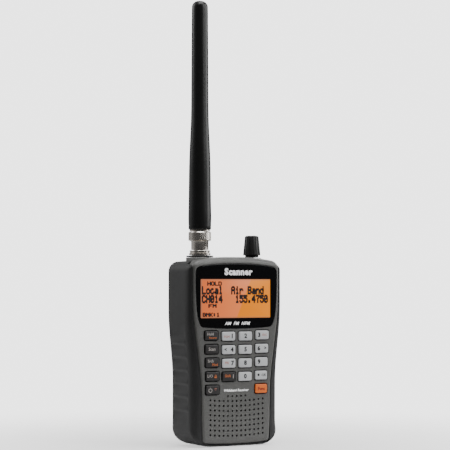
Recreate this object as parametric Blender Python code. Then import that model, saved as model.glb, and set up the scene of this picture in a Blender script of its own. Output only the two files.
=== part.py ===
"""Handheld scanning receiver, modelled as the separate pieces it comes apart into.

Sizes are in millimetres and become metres when a mesh is made. +Z is up, the front with the
keypad faces -Y, and the origin is the middle of the flat base that the radio stands on.
"""

import math

import bmesh
import bpy
from mathutils import Matrix, Vector

MM = 0.001
GAP = 0.3  # left between two pieces that touch on the bench

# Housing
FRONT_Y = -15.5
BACK_Y = 15.5
FRONT_WALL = 2.3
CASE_WALL = 2.0
RIM_WALL = 1.3
RIM_END_Y = -9.5
DECK_TOP = 113.6
DECK_BOTTOM = 111.6
DECK_BACK_Y = 9.3
DECK_HALF = 27.6
CROWN_TOP = 117.1
CROWN_DROP = 2.6
CROWN_HALF = 29.0
SIDE_TOP = 115.2
CROWN_ROOM_Z = 111.0
BASE_FLAT_HALF = 17.0
BASE_CORNER = 10.0
TOP_CORNER = 6.5
WAIST_HALF = 30.3
SHOULDER_HALF = 33.3
FACE_WAIST_HALF = 24.3
FACE_SHOULDER_HALF = 30.4
FACE_CORNER = 2.5
FACE_BOTTOM = 1.1

# Grip ribs down each side
RIB_COUNT = 6
RIB_PITCH = 8.2
RIB_TOP = 69.0
RIB_DEPTH = 0.35
RIB_FLARE = 5.4
RIB_STEP = 6.8

# Display
LENS_TOP = 112.8
LENS_BOTTOM = 72.6
LENS_HALF = 28.6
LENS_RECESS = 1.3
LENS_BACK_Y = FRONT_Y + 1.0
LENS_FRONT_Y = FRONT_Y + 0.1
LCD_MID_Z = 91.2
WINDOW = (52.0, 27.0)
LCD_GLASS = (54.0, 28.0)

# Keypad: four columns, five rows, the last row with its two outer keys only
KEY_SIZE = (9.3, 5.5)
KEY_CLEARANCE = 0.55
KEY_CORNER = 1.0
KEY_PITCH_X = 11.97
KEY_PITCH_Z = 8.33
KEY_TOP_ROW = 67.8
KEY_FAN = 0.015
KEY_SMILE = 0.0018
KEY_FRONT_Y = FRONT_Y - 0.7
KEY_FLANGE_FRONT_Y = -12.9
KEY_FLANGE_BACK_Y = -12.1
KEY_FLANGE_LIP = 0.4
KEY_NAMES = (
    ("hold", "1", "2", "3"),
    ("scan", "4", "5", "6"),
    ("search", "7", "8", "9"),
    ("lockout", "shift", "0", "dot"),
    ("power", None, None, "function"),
)
DARK_KEYS = ("hold", "scan", "search", "lockout", "shift", "power")

# Speaker grille
HOLE_RADIUS = 0.65
GRILLE_PITCH_X = 3.078
GRILLE_PITCH_Z = 3.057
GRILLE_TOP = 27.8
GRILLE_COLUMNS = 13
GRILLE_ROWS = 8
SHORT_ROW = (4, 8)
GRILLE_SMILE = 0.0029
SPEAKER_Z = 17.3

# Controls and connectors on the top deck
ANTENNA_X = -17.3
KNOB_X = 20.0
TOP_Y = 1.0
PHONES_X = 1.5
LUG_Z = 125.2
USB_Z = 88.0

# Power
CELL_RADIUS = 7.1
CELL_X = 7.5
CELL_Y = 6.2
CELL_BOTTOM = 9.8
CELL_LENGTH = 50.3
BAY_HALF = 15.6
BAY_BACK_WALL_Y = -1.2
BAY_BOTTOM = 7.8
BAY_TOP = 62.0
DOOR_HALF = 16.9
DOOR_BOTTOM = 7.0
DOOR_TOP = 66.0
DOOR_INNER_Y = 13.9

# Belt clip
PIN_Y = 20.8
PIN_Z = 96.0
PIN_RADIUS = 1.1
EAR_INNER = 8.2
EAR_OUTER = 10.2
CLIP_HALF = 7.8


def smooth(t):
    t = min(1.0, max(0.0, t))
    return t * t * (3.0 - 2.0 * t)


def clear_scene():
    for obj in list(bpy.data.objects):
        bpy.data.objects.remove(obj, do_unlink=True)


def make_material(name, colour, roughness, metallic=0.0):
    mat = bpy.data.materials.new(name)
    mat.use_nodes = True
    shader = mat.node_tree.nodes["Principled BSDF"]
    shader.inputs["Base Color"].default_value = (*colour, 1.0)
    shader.inputs["Roughness"].default_value = roughness
    shader.inputs["Metallic"].default_value = metallic
    return mat


def finish(name, bm, look, pivot=(0, 0, 0), smooth_faces=False):
    """Turn a mesh drawn in millimetres into an object whose origin is its pivot."""
    bmesh.ops.recalc_face_normals(bm, faces=bm.faces)
    bmesh.ops.transform(bm, matrix=Matrix.Translation(-Vector(pivot)), verts=bm.verts)
    bmesh.ops.scale(bm, vec=(MM, MM, MM), verts=bm.verts)
    mesh = bpy.data.meshes.new(name)
    bm.to_mesh(mesh)
    bm.free()
    if look is not None:
        mesh.materials.append(make_material(name, *look))
    if smooth_faces:
        mesh.shade_smooth()
        mesh.set_sharp_from_angle(angle=math.radians(35))
    obj = bpy.data.objects.new(name, mesh)
    obj.location = Vector(pivot) * MM
    bpy.context.scene.collection.objects.link(obj)
    return obj


def boolean(obj, tool, operation, solver="EXACT"):
    """Cut or fuse with a guide solid that is not a piece of its own."""
    tool.hide_render = True
    tool.display_type = "WIRE"
    modifier = obj.modifiers.new(tool.name, "BOOLEAN")
    modifier.operation = operation
    modifier.solver = solver
    modifier.object = tool


def loft(loops, bm=None):
    """A closed solid through rings of equal length, with a flat face on each end."""
    bm = bm or bmesh.new()
    rings = [[bm.verts.new(point) for point in loop] for loop in loops]
    count = len(rings[0])
    for low, high in zip(rings, rings[1:]):
        for i in range(count):
            j = (i + 1) % count
            bm.faces.new((low[i], low[j], high[j], high[i]))
    bm.faces.new(rings[0])
    bm.faces.new(rings[-1])
    return bm


def at_y(outline, y):
    return [(x, y, z) for x, z in outline]


def prism_y(outline, y0, y1, bm=None):
    return loft([at_y(outline, y0), at_y(outline, y1)], bm)


def prism_x(outline, x0, x1, bm=None):
    return loft([[(x0, y, z) for y, z in outline], [(x1, y, z) for y, z in outline]], bm)


def add_box(bm, low, high):
    size = [b - a for a, b in zip(low, high)]
    middle = [(a + b) / 2 for a, b in zip(low, high)]
    made = bmesh.ops.create_cube(bm, size=1.0)["verts"]
    bmesh.ops.scale(bm, vec=size, verts=made)
    bmesh.ops.translate(bm, vec=middle, verts=made)
    return bm


def box(low, high):
    return add_box(bmesh.new(), low, high)


def add_cylinder(bm, radius, start, end, segments=16):
    """A round bar from start to end."""
    start = Vector(start)
    along = Vector(end) - start
    turn = along.to_track_quat("Z", "Y").to_matrix().to_4x4()
    bmesh.ops.create_cone(
        bm,
        cap_ends=True,
        segments=segments,
        radius1=radius,
        radius2=radius,
        depth=along.length,
        matrix=Matrix.Translation(start + along / 2) @ turn,
    )
    return bm


def cylinder(radius, start, end, segments=16):
    return add_cylinder(bmesh.new(), radius, start, end, segments)


def turned(profile, centre, segments=16):
    """Spin a closed run of (radius, z) points about the upright axis through centre."""
    bm = bmesh.new()
    x, y = centre
    verts = [bm.verts.new((x + radius, y, z)) for radius, z in profile]
    edges = [bm.edges.new(pair) for pair in zip(verts, verts[1:] + verts[:1])]
    bmesh.ops.spin(
        bm,
        geom=verts + edges,
        cent=(x, y, 0),
        axis=(0, 0, 1),
        angle=math.tau,
        steps=segments,
        use_duplicate=False,
    )
    bmesh.ops.remove_doubles(bm, verts=bm.verts, dist=0.01)
    return bm


def round_rect(width, height, radius, centre=(0, 0), steps=2):
    """Corner points of a rounded rectangle, counted round from the right side."""
    cx, cz = centre
    points = []
    corners = ((1, 1), (-1, 1), (-1, -1), (1, -1))
    for quarter, (sx, sz) in enumerate(corners):
        mx = cx + sx * (width / 2 - radius)
        mz = cz + sz * (height / 2 - radius)
        for step in range(steps + 1):
            angle = (quarter + step / steps) * math.pi / 2
            points.append((mx + radius * math.cos(angle), mz + radius * math.sin(angle)))
    return points


def inset(outline, distance):
    """Move each corner of a closed outline inwards, square to its two edges."""
    moved = []
    count = len(outline)
    for i, point in enumerate(outline):
        before = Vector(outline[i - 1])
        here = Vector(point)
        after = Vector(outline[(i + 1) % count])
        first = (here - before).normalized()
        second = (after - here).normalized()
        bisector = Vector((-first.y - second.y, first.x + second.x)).normalized()
        share = max(0.5, bisector.dot(Vector((-first.y, first.x))))
        moved.append(tuple(here + bisector * distance / share))
    return moved


# ---------------------------------------------------------------- housing outlines


def side_heights():
    """Heights down one side, with the three corners of every grip rib."""
    heights = [12.0]
    for rib in reversed(range(RIB_COUNT)):
        top = RIB_TOP - rib * RIB_PITCH
        heights += [top - RIB_STEP, top - RIB_FLARE, top]
    return heights + [76.0, 86.0, 98.0]


def rib_offset(z):
    """How far the ribbed side stands out from the plain one."""
    below_top = RIB_TOP - z
    if not -0.01 <= below_top < RIB_COUNT * RIB_PITCH:
        return 0.0
    part = below_top % RIB_PITCH
    if part <= RIB_FLARE:
        return RIB_DEPTH * (2 * part / RIB_FLARE - 1)
    return -RIB_DEPTH


def body_half(z):
    return WAIST_HALF + (SHOULDER_HALF - WAIST_HALF) * smooth((z - 40) / 44)


def face_half(z):
    rise = (FACE_SHOULDER_HALF - FACE_WAIST_HALF) * smooth((z - 30) / 62)
    return FACE_WAIST_HALF + rise - 0.02 * max(0.0, 30 - z)


def mirrored(right):
    """Close an outline from its right half, listed bottom centre to top centre."""
    left = [(-x, z) for x, z in reversed(right[1:-1])]
    return right + left


def arch_z(x, top, half, drop):
    return top - drop * (abs(x) / half) ** 2.6


def body_outline(ribs=False, bottom=0.0):
    """The black housing seen from the front."""
    half = body_half(0)
    flat = BASE_FLAT_HALF
    right = [(0, bottom), (flat * 0.6, bottom), (flat, bottom)]
    for step in range(1, 5):
        angle = step / 4 * math.pi / 2
        x = flat + (half - flat) * math.sin(angle)
        right.append((x, bottom + (BASE_CORNER - bottom) * (1 - math.cos(angle))))
    for z in side_heights():
        right.append((body_half(z) + (rib_offset(z) if ribs else 0.0), z))
    mx = SHOULDER_HALF - TOP_CORNER
    mz = SIDE_TOP - 0.8 - TOP_CORNER
    for step in range(5):
        angle = step / 4 * math.radians(80)
        right.append((mx + TOP_CORNER * math.cos(angle), mz + TOP_CORNER * math.sin(angle)))
    right += [(14.0, SIDE_TOP - 0.2), (0, SIDE_TOP)]
    return mirrored(right)


def face_outline():
    """The grey front moulding, whose side edges run in an S from shoulder to waist."""
    corner = FACE_CORNER
    half = face_half(corner)
    right = [(0, FACE_BOTTOM), (10.0, FACE_BOTTOM + 0.1), (19.0, FACE_BOTTOM + 0.5)]
    for step in range(1, 5):
        angle = step / 4 * math.pi / 2
        x = half - corner * (1 - math.sin(angle))
        right.append((x, FACE_BOTTOM + 0.8 + corner * (1 - math.cos(angle))))
    for z in side_heights():
        right.append((face_half(z), z))
    mx = FACE_SHOULDER_HALF - 5.0
    mz = arch_z(mx, CROWN_TOP, CROWN_HALF, CROWN_DROP) - 5.0
    for step in range(5):
        angle = step / 4 * math.radians(78)
        right.append((mx + 5.0 * math.cos(angle), mz + 5.0 * math.sin(angle)))
    for x in (14.0, 0):
        right.append((x, arch_z(x, CROWN_TOP, CROWN_HALF, CROWN_DROP)))
    return mirrored(right)


def lens_outline(shrink=0.0):
    """The gloss window: arched top, sides that narrow towards a smiling lower edge."""
    right = [(0, LENS_BOTTOM), (12.0, LENS_BOTTOM + 0.2), (22.5, LENS_BOTTOM + 0.7)]
    right += [(24.6, LENS_BOTTOM + 1.1), (25.8, LENS_BOTTOM + 2.4), (27.1, 78.5)]
    right += [(27.9, 84.0), (28.4, 92.0), (LENS_HALF, 100.0), (LENS_HALF, 106.5)]
    right += [(28.2, 108.6), (26.9, 110.2), (24.8, 111.0)]
    for x in (14.0, 0):
        right.append((x, arch_z(x, LENS_TOP, 25.0, 1.8)))
    return inset(mirrored(right), shrink)


# ---------------------------------------------------------------- keypad layout


def key_places():
    """Each key's name with its centre and width, left to right and top to bottom."""
    for row, names in enumerate(KEY_NAMES):
        for column, name in enumerate(names):
            if name is None:
                continue
            x = (column - 1.5) * KEY_PITCH_X * (1 - KEY_FAN * min(row, 3))
            z = KEY_TOP_ROW - row * KEY_PITCH_Z + KEY_SMILE * x * x
            narrowing = 0.25 * row if column == 3 else 0.0
            yield name, x, z, KEY_SIZE[0] - narrowing


def grille_places():
    middle = (GRILLE_COLUMNS - 1) / 2
    for row in range(-1, GRILLE_ROWS):
        for column in range(GRILLE_COLUMNS):
            if row < 0 and not SHORT_ROW[0] <= column <= SHORT_ROW[1]:
                continue
            x = (column - middle) * GRILLE_PITCH_X
            yield x, GRILLE_TOP - row * GRILLE_PITCH_Z + GRILLE_SMILE * x * x


def post_places():
    return [(sx * x, z) for x, z in ((26.3, 108.6), (21.0, 9.4)) for sx in (-1, 1)]


# ---------------------------------------------------------------- housing pieces


def front_case():
    edge = face_outline()
    loops = [
        at_y(inset(edge, 1.8), FRONT_Y),
        at_y(inset(edge, 0.6), FRONT_Y + 0.5),
        at_y(edge, FRONT_Y + 2.0),
        at_y(edge, RIM_END_Y),
        at_y(inset(edge, RIM_WALL), RIM_END_Y),
        at_y(inset(edge, RIM_WALL), FRONT_Y + FRONT_WALL),
    ]
    case = finish("front_case", loft(loops), ((0.13, 0.13, 0.125), 0.42))

    deck = box((-DECK_HALF, RIM_END_Y - 3.0, DECK_BOTTOM), (DECK_HALF, DECK_BACK_Y, DECK_TOP))
    boolean(case, finish("deck_guide", deck, None), "UNION")
    boss = [(x, y, z) for z in (DECK_BOTTOM + 0.5, 116.7) for x, y in antenna_boss()]
    count = len(boss) // 2
    boolean(case, finish("boss_guide", loft([boss[:count], boss[count:]]), None), "UNION")
    posts = bmesh.new()
    for x, z in post_places():
        add_cylinder(posts, 2.0, (x, FRONT_Y + 1.2, z), (x, 11.0, z), 10)
    boolean(case, finish("post_guide", posts, None), "UNION")

    recess = prism_y(lens_outline(-GAP), FRONT_Y - 1.0, FRONT_Y + LENS_RECESS)
    boolean(case, finish("lens_recess_guide", recess, None), "DIFFERENCE")
    openings = prism_y(
        round_rect(*WINDOW, 1.0, (0, LCD_MID_Z), 1), FRONT_Y - 1.0, FRONT_Y + 4.0
    )
    for _, x, z, width in key_places():
        window = round_rect(
            width + 2 * KEY_CLEARANCE, KEY_SIZE[1] + 2 * KEY_CLEARANCE, 1.3, (x, z), 1
        )
        prism_y(window, FRONT_Y - 1.0, FRONT_Y + 4.0, openings)
    for x, z in grille_places():
        add_cylinder(openings, HOLE_RADIUS, (x, FRONT_Y - 1, z), (x, FRONT_Y + 3.5, z), 5)
    add_cylinder(openings, 5.2, (ANTENNA_X, TOP_Y, 105), (ANTENNA_X, TOP_Y, 120))
    add_cylinder(openings, 3.9, (KNOB_X, TOP_Y, 105), (KNOB_X, TOP_Y, 120))
    add_cylinder(openings, 3.4, (PHONES_X, TOP_Y, 105), (PHONES_X, TOP_Y, 120))
    for x, z in post_places():
        add_cylinder(openings, 1.2, (x, 4.0, z), (x, 12.0, z), 8)
    boolean(case, finish("opening_guide", openings, None), "DIFFERENCE")


def antenna_boss():
    """Seen from above: square at the front under the crown, round behind."""
    half = 9.7
    points = [(ANTENNA_X - half, -12.5), (ANTENNA_X + half, -12.5)]
    for step in range(9):
        angle = step / 8 * math.pi
        points.append((ANTENNA_X + half * math.cos(angle), -1.2 + half * math.sin(angle)))
    return points


def rear_case():
    plain = body_outline()
    ribbed = body_outline(ribs=True)
    lip = [(x, min(z, CROWN_ROOM_Z)) for x, z in inset(face_outline(), -GAP)]

    def softened(amount):
        """The outline drawn in by amount, but only by a third along the thin lower lip."""
        ring = []
        for (x, z), (inner_x, inner_z) in zip(plain, inset(plain, amount)):
            share = 0.3 + 0.7 * smooth(z / 12)
            ring.append((x + (inner_x - x) * share, z + (inner_z - z) * share))
        return ring

    outside = [
        at_y(lip, RIM_END_Y + GAP),
        at_y(lip, FRONT_Y + 0.8),
        at_y(softened(1.6), FRONT_Y + 1.0),
        at_y(softened(0.5), FRONT_Y + 2.2),
        at_y(plain, FRONT_Y + 4.2),
        at_y(ribbed, FRONT_Y + 6.2),
        at_y(ribbed, BACK_Y - 5.0),
        at_y(inset(plain, 0.7), BACK_Y - 1.9),
        at_y(inset(body_outline(bottom=4.5), 2.6), BACK_Y),
    ]
    inside = [
        at_y(inset(plain, 2.9), BACK_Y - CASE_WALL),
        at_y(inset(plain, CASE_WALL), BACK_Y - 5.0),
        at_y(inset(plain, CASE_WALL), RIM_END_Y + 1.0),
    ]
    shell = loft(outside[::-1] + inside[::-1])
    case = finish("rear_case", shell, ((0.02, 0.02, 0.021), 0.55))

    crown_side = FACE_SHOULDER_HALF + 2 * GAP
    crown = box(
        (-crown_side, FRONT_Y - 2, CROWN_ROOM_Z - 0.5),
        (crown_side, RIM_END_Y + 0.5, CROWN_TOP + 2),
    )
    boolean(case, finish("crown_room_guide", crown, None), "DIFFERENCE", "MANIFOLD")
    deck_side = DECK_HALF + GAP
    deck_room = box(
        (-deck_side, RIM_END_Y - 4.0, DECK_BOTTOM - GAP),
        (deck_side, DECK_BACK_Y + GAP, CROWN_TOP + 2),
    )
    boolean(case, finish("deck_room_guide", deck_room, None), "DIFFERENCE", "MANIFOLD")
    tub = box((-18.8, -2.6, 0.9), (18.8, BACK_Y - CASE_WALL + 0.5, 68.0))
    boolean(case, finish("tub_guide", tub, None), "UNION", "MANIFOLD")
    door_half = DOOR_HALF + GAP
    seat = box((-door_half, DOOR_INNER_Y - GAP, -2.0), (door_half, BACK_Y + 2, DOOR_TOP + GAP))
    boolean(case, finish("door_seat_guide", seat, None), "DIFFERENCE", "MANIFOLD")
    bay = box((-BAY_HALF, BAY_BACK_WALL_Y, BAY_BOTTOM), (BAY_HALF, BACK_Y + 1, BAY_TOP))
    boolean(case, finish("bay_guide", bay, None), "DIFFERENCE", "MANIFOLD")
    cuts = box((-4.0, 10.4, BAY_TOP - 1.0), (4.0, BACK_Y + 1, BAY_TOP + 2.6))
    add_box(cuts, (28.0, -2.4, USB_Z - 4.4), (36.0, 2.8, USB_Z + 4.4))
    counterbores = bmesh.new()
    for x, z in post_places():
        add_cylinder(cuts, 1.5, (x, 10.0, z), (x, BACK_Y + 2, z), 8)
        add_cylinder(counterbores, 2.9, (x, BACK_Y - 1.3, z), (x, BACK_Y + 2, z), 12)
    for x, z in clip_screw_places():
        add_cylinder(cuts, 1.4, (x, 10.0, z), (x, BACK_Y + 2, z), 8)
    boolean(case, finish("rear_cut_guide", cuts, None), "DIFFERENCE", "MANIFOLD")
    boolean(case, finish("counterbore_guide", counterbores, None), "DIFFERENCE", "MANIFOLD")


def case_screws():
    for number, (x, z) in enumerate(post_places(), 1):
        bm = screw((x, BACK_Y - 1.0, z), 2.5, 0.95, 0.85, 9.0)
        finish(f"case_screw_{number}", bm, ((0.45, 0.45, 0.46), 0.3, 1.0))


def screw(seat, head_radius, head_height, shank_radius, length):
    """A pan-head screw driven towards the front, as one closed body."""
    bm = bmesh.new()
    profile = (
        (0.0, head_height),
        (head_radius * 0.8, head_height),
        (head_radius, head_height * 0.5),
        (head_radius, 0.0),
        (shank_radius, 0.0),
        (shank_radius, -length),
        (0.0, -length - shank_radius),
    )
    segments = 10
    rings = []
    for radius, along in profile:
        if radius == 0.0:
            rings.append([bm.verts.new((seat[0], seat[1] + along, seat[2]))])
            continue
        ring = []
        for step in range(segments):
            angle = math.tau * step / segments
            x = seat[0] + radius * math.cos(angle)
            z = seat[2] + radius * math.sin(angle)
            ring.append(bm.verts.new((x, seat[1] + along, z)))
        rings.append(ring)
    for low, high in zip(rings, rings[1:]):
        for i in range(segments):
            j = (i + 1) % segments
            corners = [low[i % len(low)], low[j % len(low)], high[j % len(high)], high[i % len(high)]]
            bm.faces.new(list(dict.fromkeys(corners)))
    return bm


# ---------------------------------------------------------------- display and keypad


def display():
    lens = prism_y(lens_outline(), LENS_FRONT_Y, LENS_BACK_Y)
    finish("display_lens", lens, ((0.01, 0.01, 0.011), 0.06))
    width, height = LCD_GLASS
    glass = prism_y(round_rect(width, height, 0.5, (0, LCD_MID_Z), 1), -12.8, -11.4)
    finish("lcd_glass", glass, ((0.85, 0.36, 0.07), 0.2))
    light = prism_y(round_rect(width, height, 0.5, (0, LCD_MID_Z), 1), -11.1, -10.2)
    finish("backlight_panel", light, ((0.9, 0.75, 0.5), 0.4))
    frame = finish(
        "lcd_frame",
        box((-27.7, -12.9, LCD_MID_Z - 15.6), (27.7, -10.1, LCD_MID_Z + 15.2)),
        ((0.03, 0.03, 0.03), 0.6),
    )
    hole = box(
        (-width / 2 - GAP, -14, LCD_MID_Z - height / 2 - GAP),
        (width / 2 + GAP, -9, LCD_MID_Z + height / 2 + GAP),
    )
    boolean(frame, finish("frame_hole_guide", hole, None), "DIFFERENCE")


def keypad():
    for name, x, z, width in key_places():
        height = KEY_SIZE[1]
        lip = 2 * KEY_CLEARANCE + 2 * KEY_FLANGE_LIP
        flange = round_rect(width + lip, height + lip, KEY_CORNER, (x, z), 1)
        body = round_rect(width, height, KEY_CORNER, (x, z), 1)
        crown = inset(body, 0.3)
        loops = [
            at_y(crown, KEY_FRONT_Y),
            at_y(body, KEY_FRONT_Y + 0.35),
            at_y(body, KEY_FLANGE_FRONT_Y),
            at_y(flange, KEY_FLANGE_FRONT_Y),
            at_y(flange, KEY_FLANGE_BACK_Y),
        ]
        colour = (0.035, 0.035, 0.035) if name in DARK_KEYS else (0.62, 0.62, 0.60)
        if name == "function":
            colour = (0.85, 0.24, 0.05)
        finish(f"key_{name}", loft(loops), (colour, 0.5), pivot=(x, KEY_FLANGE_BACK_Y, z))
    mat = prism_y(round_rect(45.4, 40.6, 2.0, (0, 51.6), 2), -11.0, -10.1)
    finish("keypad_mat", mat, ((0.25, 0.25, 0.25), 0.8))


def boards():
    front = prism_y(round_rect(45.0, 78.0, 1.0, (0, 71.6), 1), -9.7, -8.5)
    finish("front_board", front, ((0.02, 0.16, 0.07), 0.45))
    main = prism_y(round_rect(44.0, 88.0, 1.0, (0, 56.4), 1), -5.0, -3.4)
    finish("main_board", main, ((0.02, 0.16, 0.07), 0.45))
    shield = box((-19.0, -8.1, 62.0), (3.0, -5.3, 99.0))
    can = finish("rf_shield", shield, ((0.6, 0.6, 0.62), 0.35, 1.0))
    inside = box((-18.4, -7.5, 62.6), (2.4, -4.0, 98.4))
    boolean(can, finish("shield_inside_guide", inside, None), "DIFFERENCE")


# ---------------------------------------------------------------- speaker


def speaker():
    """Ring, cone and magnet, stacked on an axis that points through the grille."""

    def facing_front(profile, name, look):
        bm = turned(profile, (0, 0))
        quarter = Matrix.Rotation(math.pi / 2, 3, "X")
        bmesh.ops.rotate(bm, cent=(0, 0, 0), matrix=quarter, verts=bm.verts)
        bmesh.ops.translate(bm, vec=(0, 0, SPEAKER_Z), verts=bm.verts)
        finish(name, bm, look, smooth_faces=True)

    ring = (
        (14.0, 12.3),
        (12.2, 12.3),
        (12.2, 11.0),
        (4.3, 8.6),
        (4.3, 8.0),
        (9.0, 8.0),
        (14.0, 10.4),
    )
    facing_front(ring, "speaker_frame", ((0.35, 0.35, 0.36), 0.4, 1.0))
    cone = ((11.8, 12.1), (11.8, 11.6), (4.2, 9.2), (0.0, 9.8), (0.0, 10.3), (4.2, 9.7))
    facing_front(cone, "speaker_cone", ((0.05, 0.05, 0.05), 0.9))
    magnet = ((0.0, 7.7), (7.0, 7.7), (7.0, 5.6), (0.0, 5.6))
    facing_front(magnet, "speaker_magnet", ((0.3, 0.3, 0.31), 0.35, 1.0))
    cloth = prism_y(round_rect(37.0, 24.0, 3.0, (0, SPEAKER_Z + 1.2), 2), -12.9, -12.6)
    finish("speaker_cloth", cloth, ((0.02, 0.02, 0.02), 0.95))


# ---------------------------------------------------------------- aerial


def antenna_parts():
    centre = (ANTENNA_X, TOP_Y)
    gasket = ((5.2, 117.9), (5.2, 117.0), (8.5, 117.0), (8.5, 117.9))
    finish("antenna_gasket", turned(gasket, centre), ((0.02, 0.02, 0.02), 0.6), smooth_faces=True)

    nickel = ((0.62, 0.60, 0.57), 0.25, 1.0)
    shell = (
        (2.9, 111.0),
        (4.8, 107.0),
        (4.8, 118.2),
        (6.75, 118.2),
        (6.75, 121.1),
        (4.5, 121.1),
        (4.5, 128.4),
        (3.9, 128.4),
        (3.9, 121.4),
        (2.9, 121.4),
    )
    jack = finish("bnc_jack", turned(shell, centre), nickel, smooth_faces=True)
    lugs = bmesh.new()
    for side in (-1, 1):
        start = (ANTENNA_X, TOP_Y + side * 4.2, LUG_Z)
        add_cylinder(lugs, 0.75, start, (ANTENNA_X, TOP_Y + side * 5.1, LUG_Z), 10)
    boolean(jack, finish("lug_guide", lugs, None), "UNION")
    insulator = ((2.6, 127.0), (1.0, 127.0), (1.0, 108.0), (2.6, 108.0))
    white = ((0.9, 0.9, 0.88), 0.5)
    finish("jack_insulator", turned(insulator, centre), white, smooth_faces=True)
    nut = turned(((5.7, 110.9), (5.7, 108.4), (6.8, 108.4), (6.8, 110.9)), centre, 6)
    finish("bnc_nut", nut, nickel)

    pivot = (ANTENNA_X, TOP_Y, 127.0)
    barrel = (
        (5.45, 121.5),
        (5.45, 127.0),
        (7.1, 127.5),
        (7.1, 132.5),
        (6.8, 132.8),
        (4.8, 132.8),
        (4.8, 126.4),
        (5.2, 126.4),
        (5.2, 124.0),
        (4.8, 124.0),
        (4.8, 121.5),
    )
    collar = finish("coupling_collar", turned(barrel, centre, 18), nickel, pivot, True)
    holes = cylinder(1.0, (ANTENNA_X, -6, LUG_Z), (ANTENNA_X, 8, LUG_Z), 12)
    boolean(collar, finish("detent_guide", holes, None), "DIFFERENCE")

    plug = (
        (3.0, 122.0),
        (3.6, 122.0),
        (3.6, 129.2),
        (4.4, 129.2),
        (4.4, 133.1),
        (6.4, 133.1),
        (6.4, 134.6),
        (6.0, 134.9),
        (3.0, 134.9),
        (3.0, 144.0),
        (0.9, 144.0),
        (0.9, 131.0),
        (3.0, 131.0),
    )
    finish("antenna_plug", turned(plug, centre), nickel, pivot, True)
    pin = ((0.0, 119.0), (0.7, 120.0), (0.7, 140.0), (0.0, 140.0))
    finish("antenna_pin", turned(pin, centre, 10), ((0.8, 0.6, 0.25), 0.25, 1.0), pivot, True)
    sleeve = (
        (3.3, 135.2),
        (6.7, 135.2),
        (7.1, 136.2),
        (7.2, 142.0),
        (7.05, 151.0),
        (6.8, 173.0),
        (6.3, 188.0),
        (5.6, 203.0),
        (5.4, 226.0),
        (5.25, 256.0),
        (5.1, 274.5),
        (4.2, 276.9),
        (2.2, 277.9),
        (0.0, 278.0),
        (0.0, 268.0),
        (1.5, 268.0),
        (1.5, 144.6),
        (3.3, 144.6),
    )
    rubber = ((0.012, 0.012, 0.012), 0.4)
    finish("antenna_sleeve", turned(sleeve, centre, 20), rubber, pivot, True)
    core = ((0.0, 144.5), (1.2, 144.5), (1.2, 267.0), (0.0, 267.0))
    finish("antenna_core", turned(core, centre, 10), ((0.7, 0.45, 0.25), 0.4, 1.0), pivot, True)


# ---------------------------------------------------------------- controls


def controls():
    centre = (KNOB_X, TOP_Y)
    black = ((0.02, 0.02, 0.02), 0.5)
    steel = ((0.6, 0.6, 0.6), 0.3, 1.0)
    can = box((KNOB_X - 4.0, TOP_Y - 4.6, 103.6), (KNOB_X + 4.0, TOP_Y + 5.4, 111.3))
    pot = finish("control_pot", can, ((0.3, 0.3, 0.32), 0.4, 1.0))
    bush = cylinder(3.5, (KNOB_X, TOP_Y, 111.0), (KNOB_X, TOP_Y, 113.5))
    boolean(pot, finish("bush_guide", bush, None), "UNION")
    bore = cylinder(2.8, (KNOB_X, TOP_Y, 106.0), (KNOB_X, TOP_Y, 115.0))
    boolean(pot, finish("bore_guide", bore, None), "DIFFERENCE")

    pivot = (KNOB_X, TOP_Y, 113.9)
    shaft = ((1.6, 106.5), (2.5, 106.5), (2.5, 113.7), (1.6, 113.7))
    finish("squelch_shaft", turned(shaft, centre), steel, pivot, True)
    rim = ((1.6, 114.0), (6.2, 114.0), (6.2, 116.2), (5.8, 116.7), (1.6, 116.7))
    ring = finish("squelch_ring", turned(rim, centre, 20), black, pivot, True)
    notches = bmesh.new()
    for step in range(12):
        angle = math.tau * step / 12
        x = KNOB_X + 6.5 * math.cos(angle)
        y = TOP_Y + 6.5 * math.sin(angle)
        add_cylinder(notches, 0.6, (x, y, 113), (x, y, 118), 6)
    boolean(ring, finish("ring_notch_guide", notches, None), "DIFFERENCE")

    spindle = ((0.0, 106.8), (1.3, 106.8), (1.3, 126.0), (0.0, 126.0))
    finish("volume_shaft", turned(spindle, centre, 12), steel, pivot, True)
    body = (
        (1.6, 117.0),
        (4.25, 117.0),
        (4.25, 118.4),
        (5.55, 118.4),
        (4.4, 130.2),
        (3.6, 130.9),
        (0.0, 130.9),
        (0.0, 126.4),
        (1.6, 126.4),
    )
    knob = finish("volume_knob", turned(body, centre, 20), black, pivot, True)
    flutes = bmesh.new()
    for step in range(12):
        angle = math.tau * step / 12
        foot = (KNOB_X + 6.0 * math.cos(angle), TOP_Y + 6.0 * math.sin(angle), 118.0)
        head = (KNOB_X + 4.9 * math.cos(angle), TOP_Y + 4.9 * math.sin(angle), 131.2)
        add_cylinder(flutes, 0.85, foot, head, 6)
    boolean(knob, finish("flute_guide", flutes, None), "DIFFERENCE")


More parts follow.
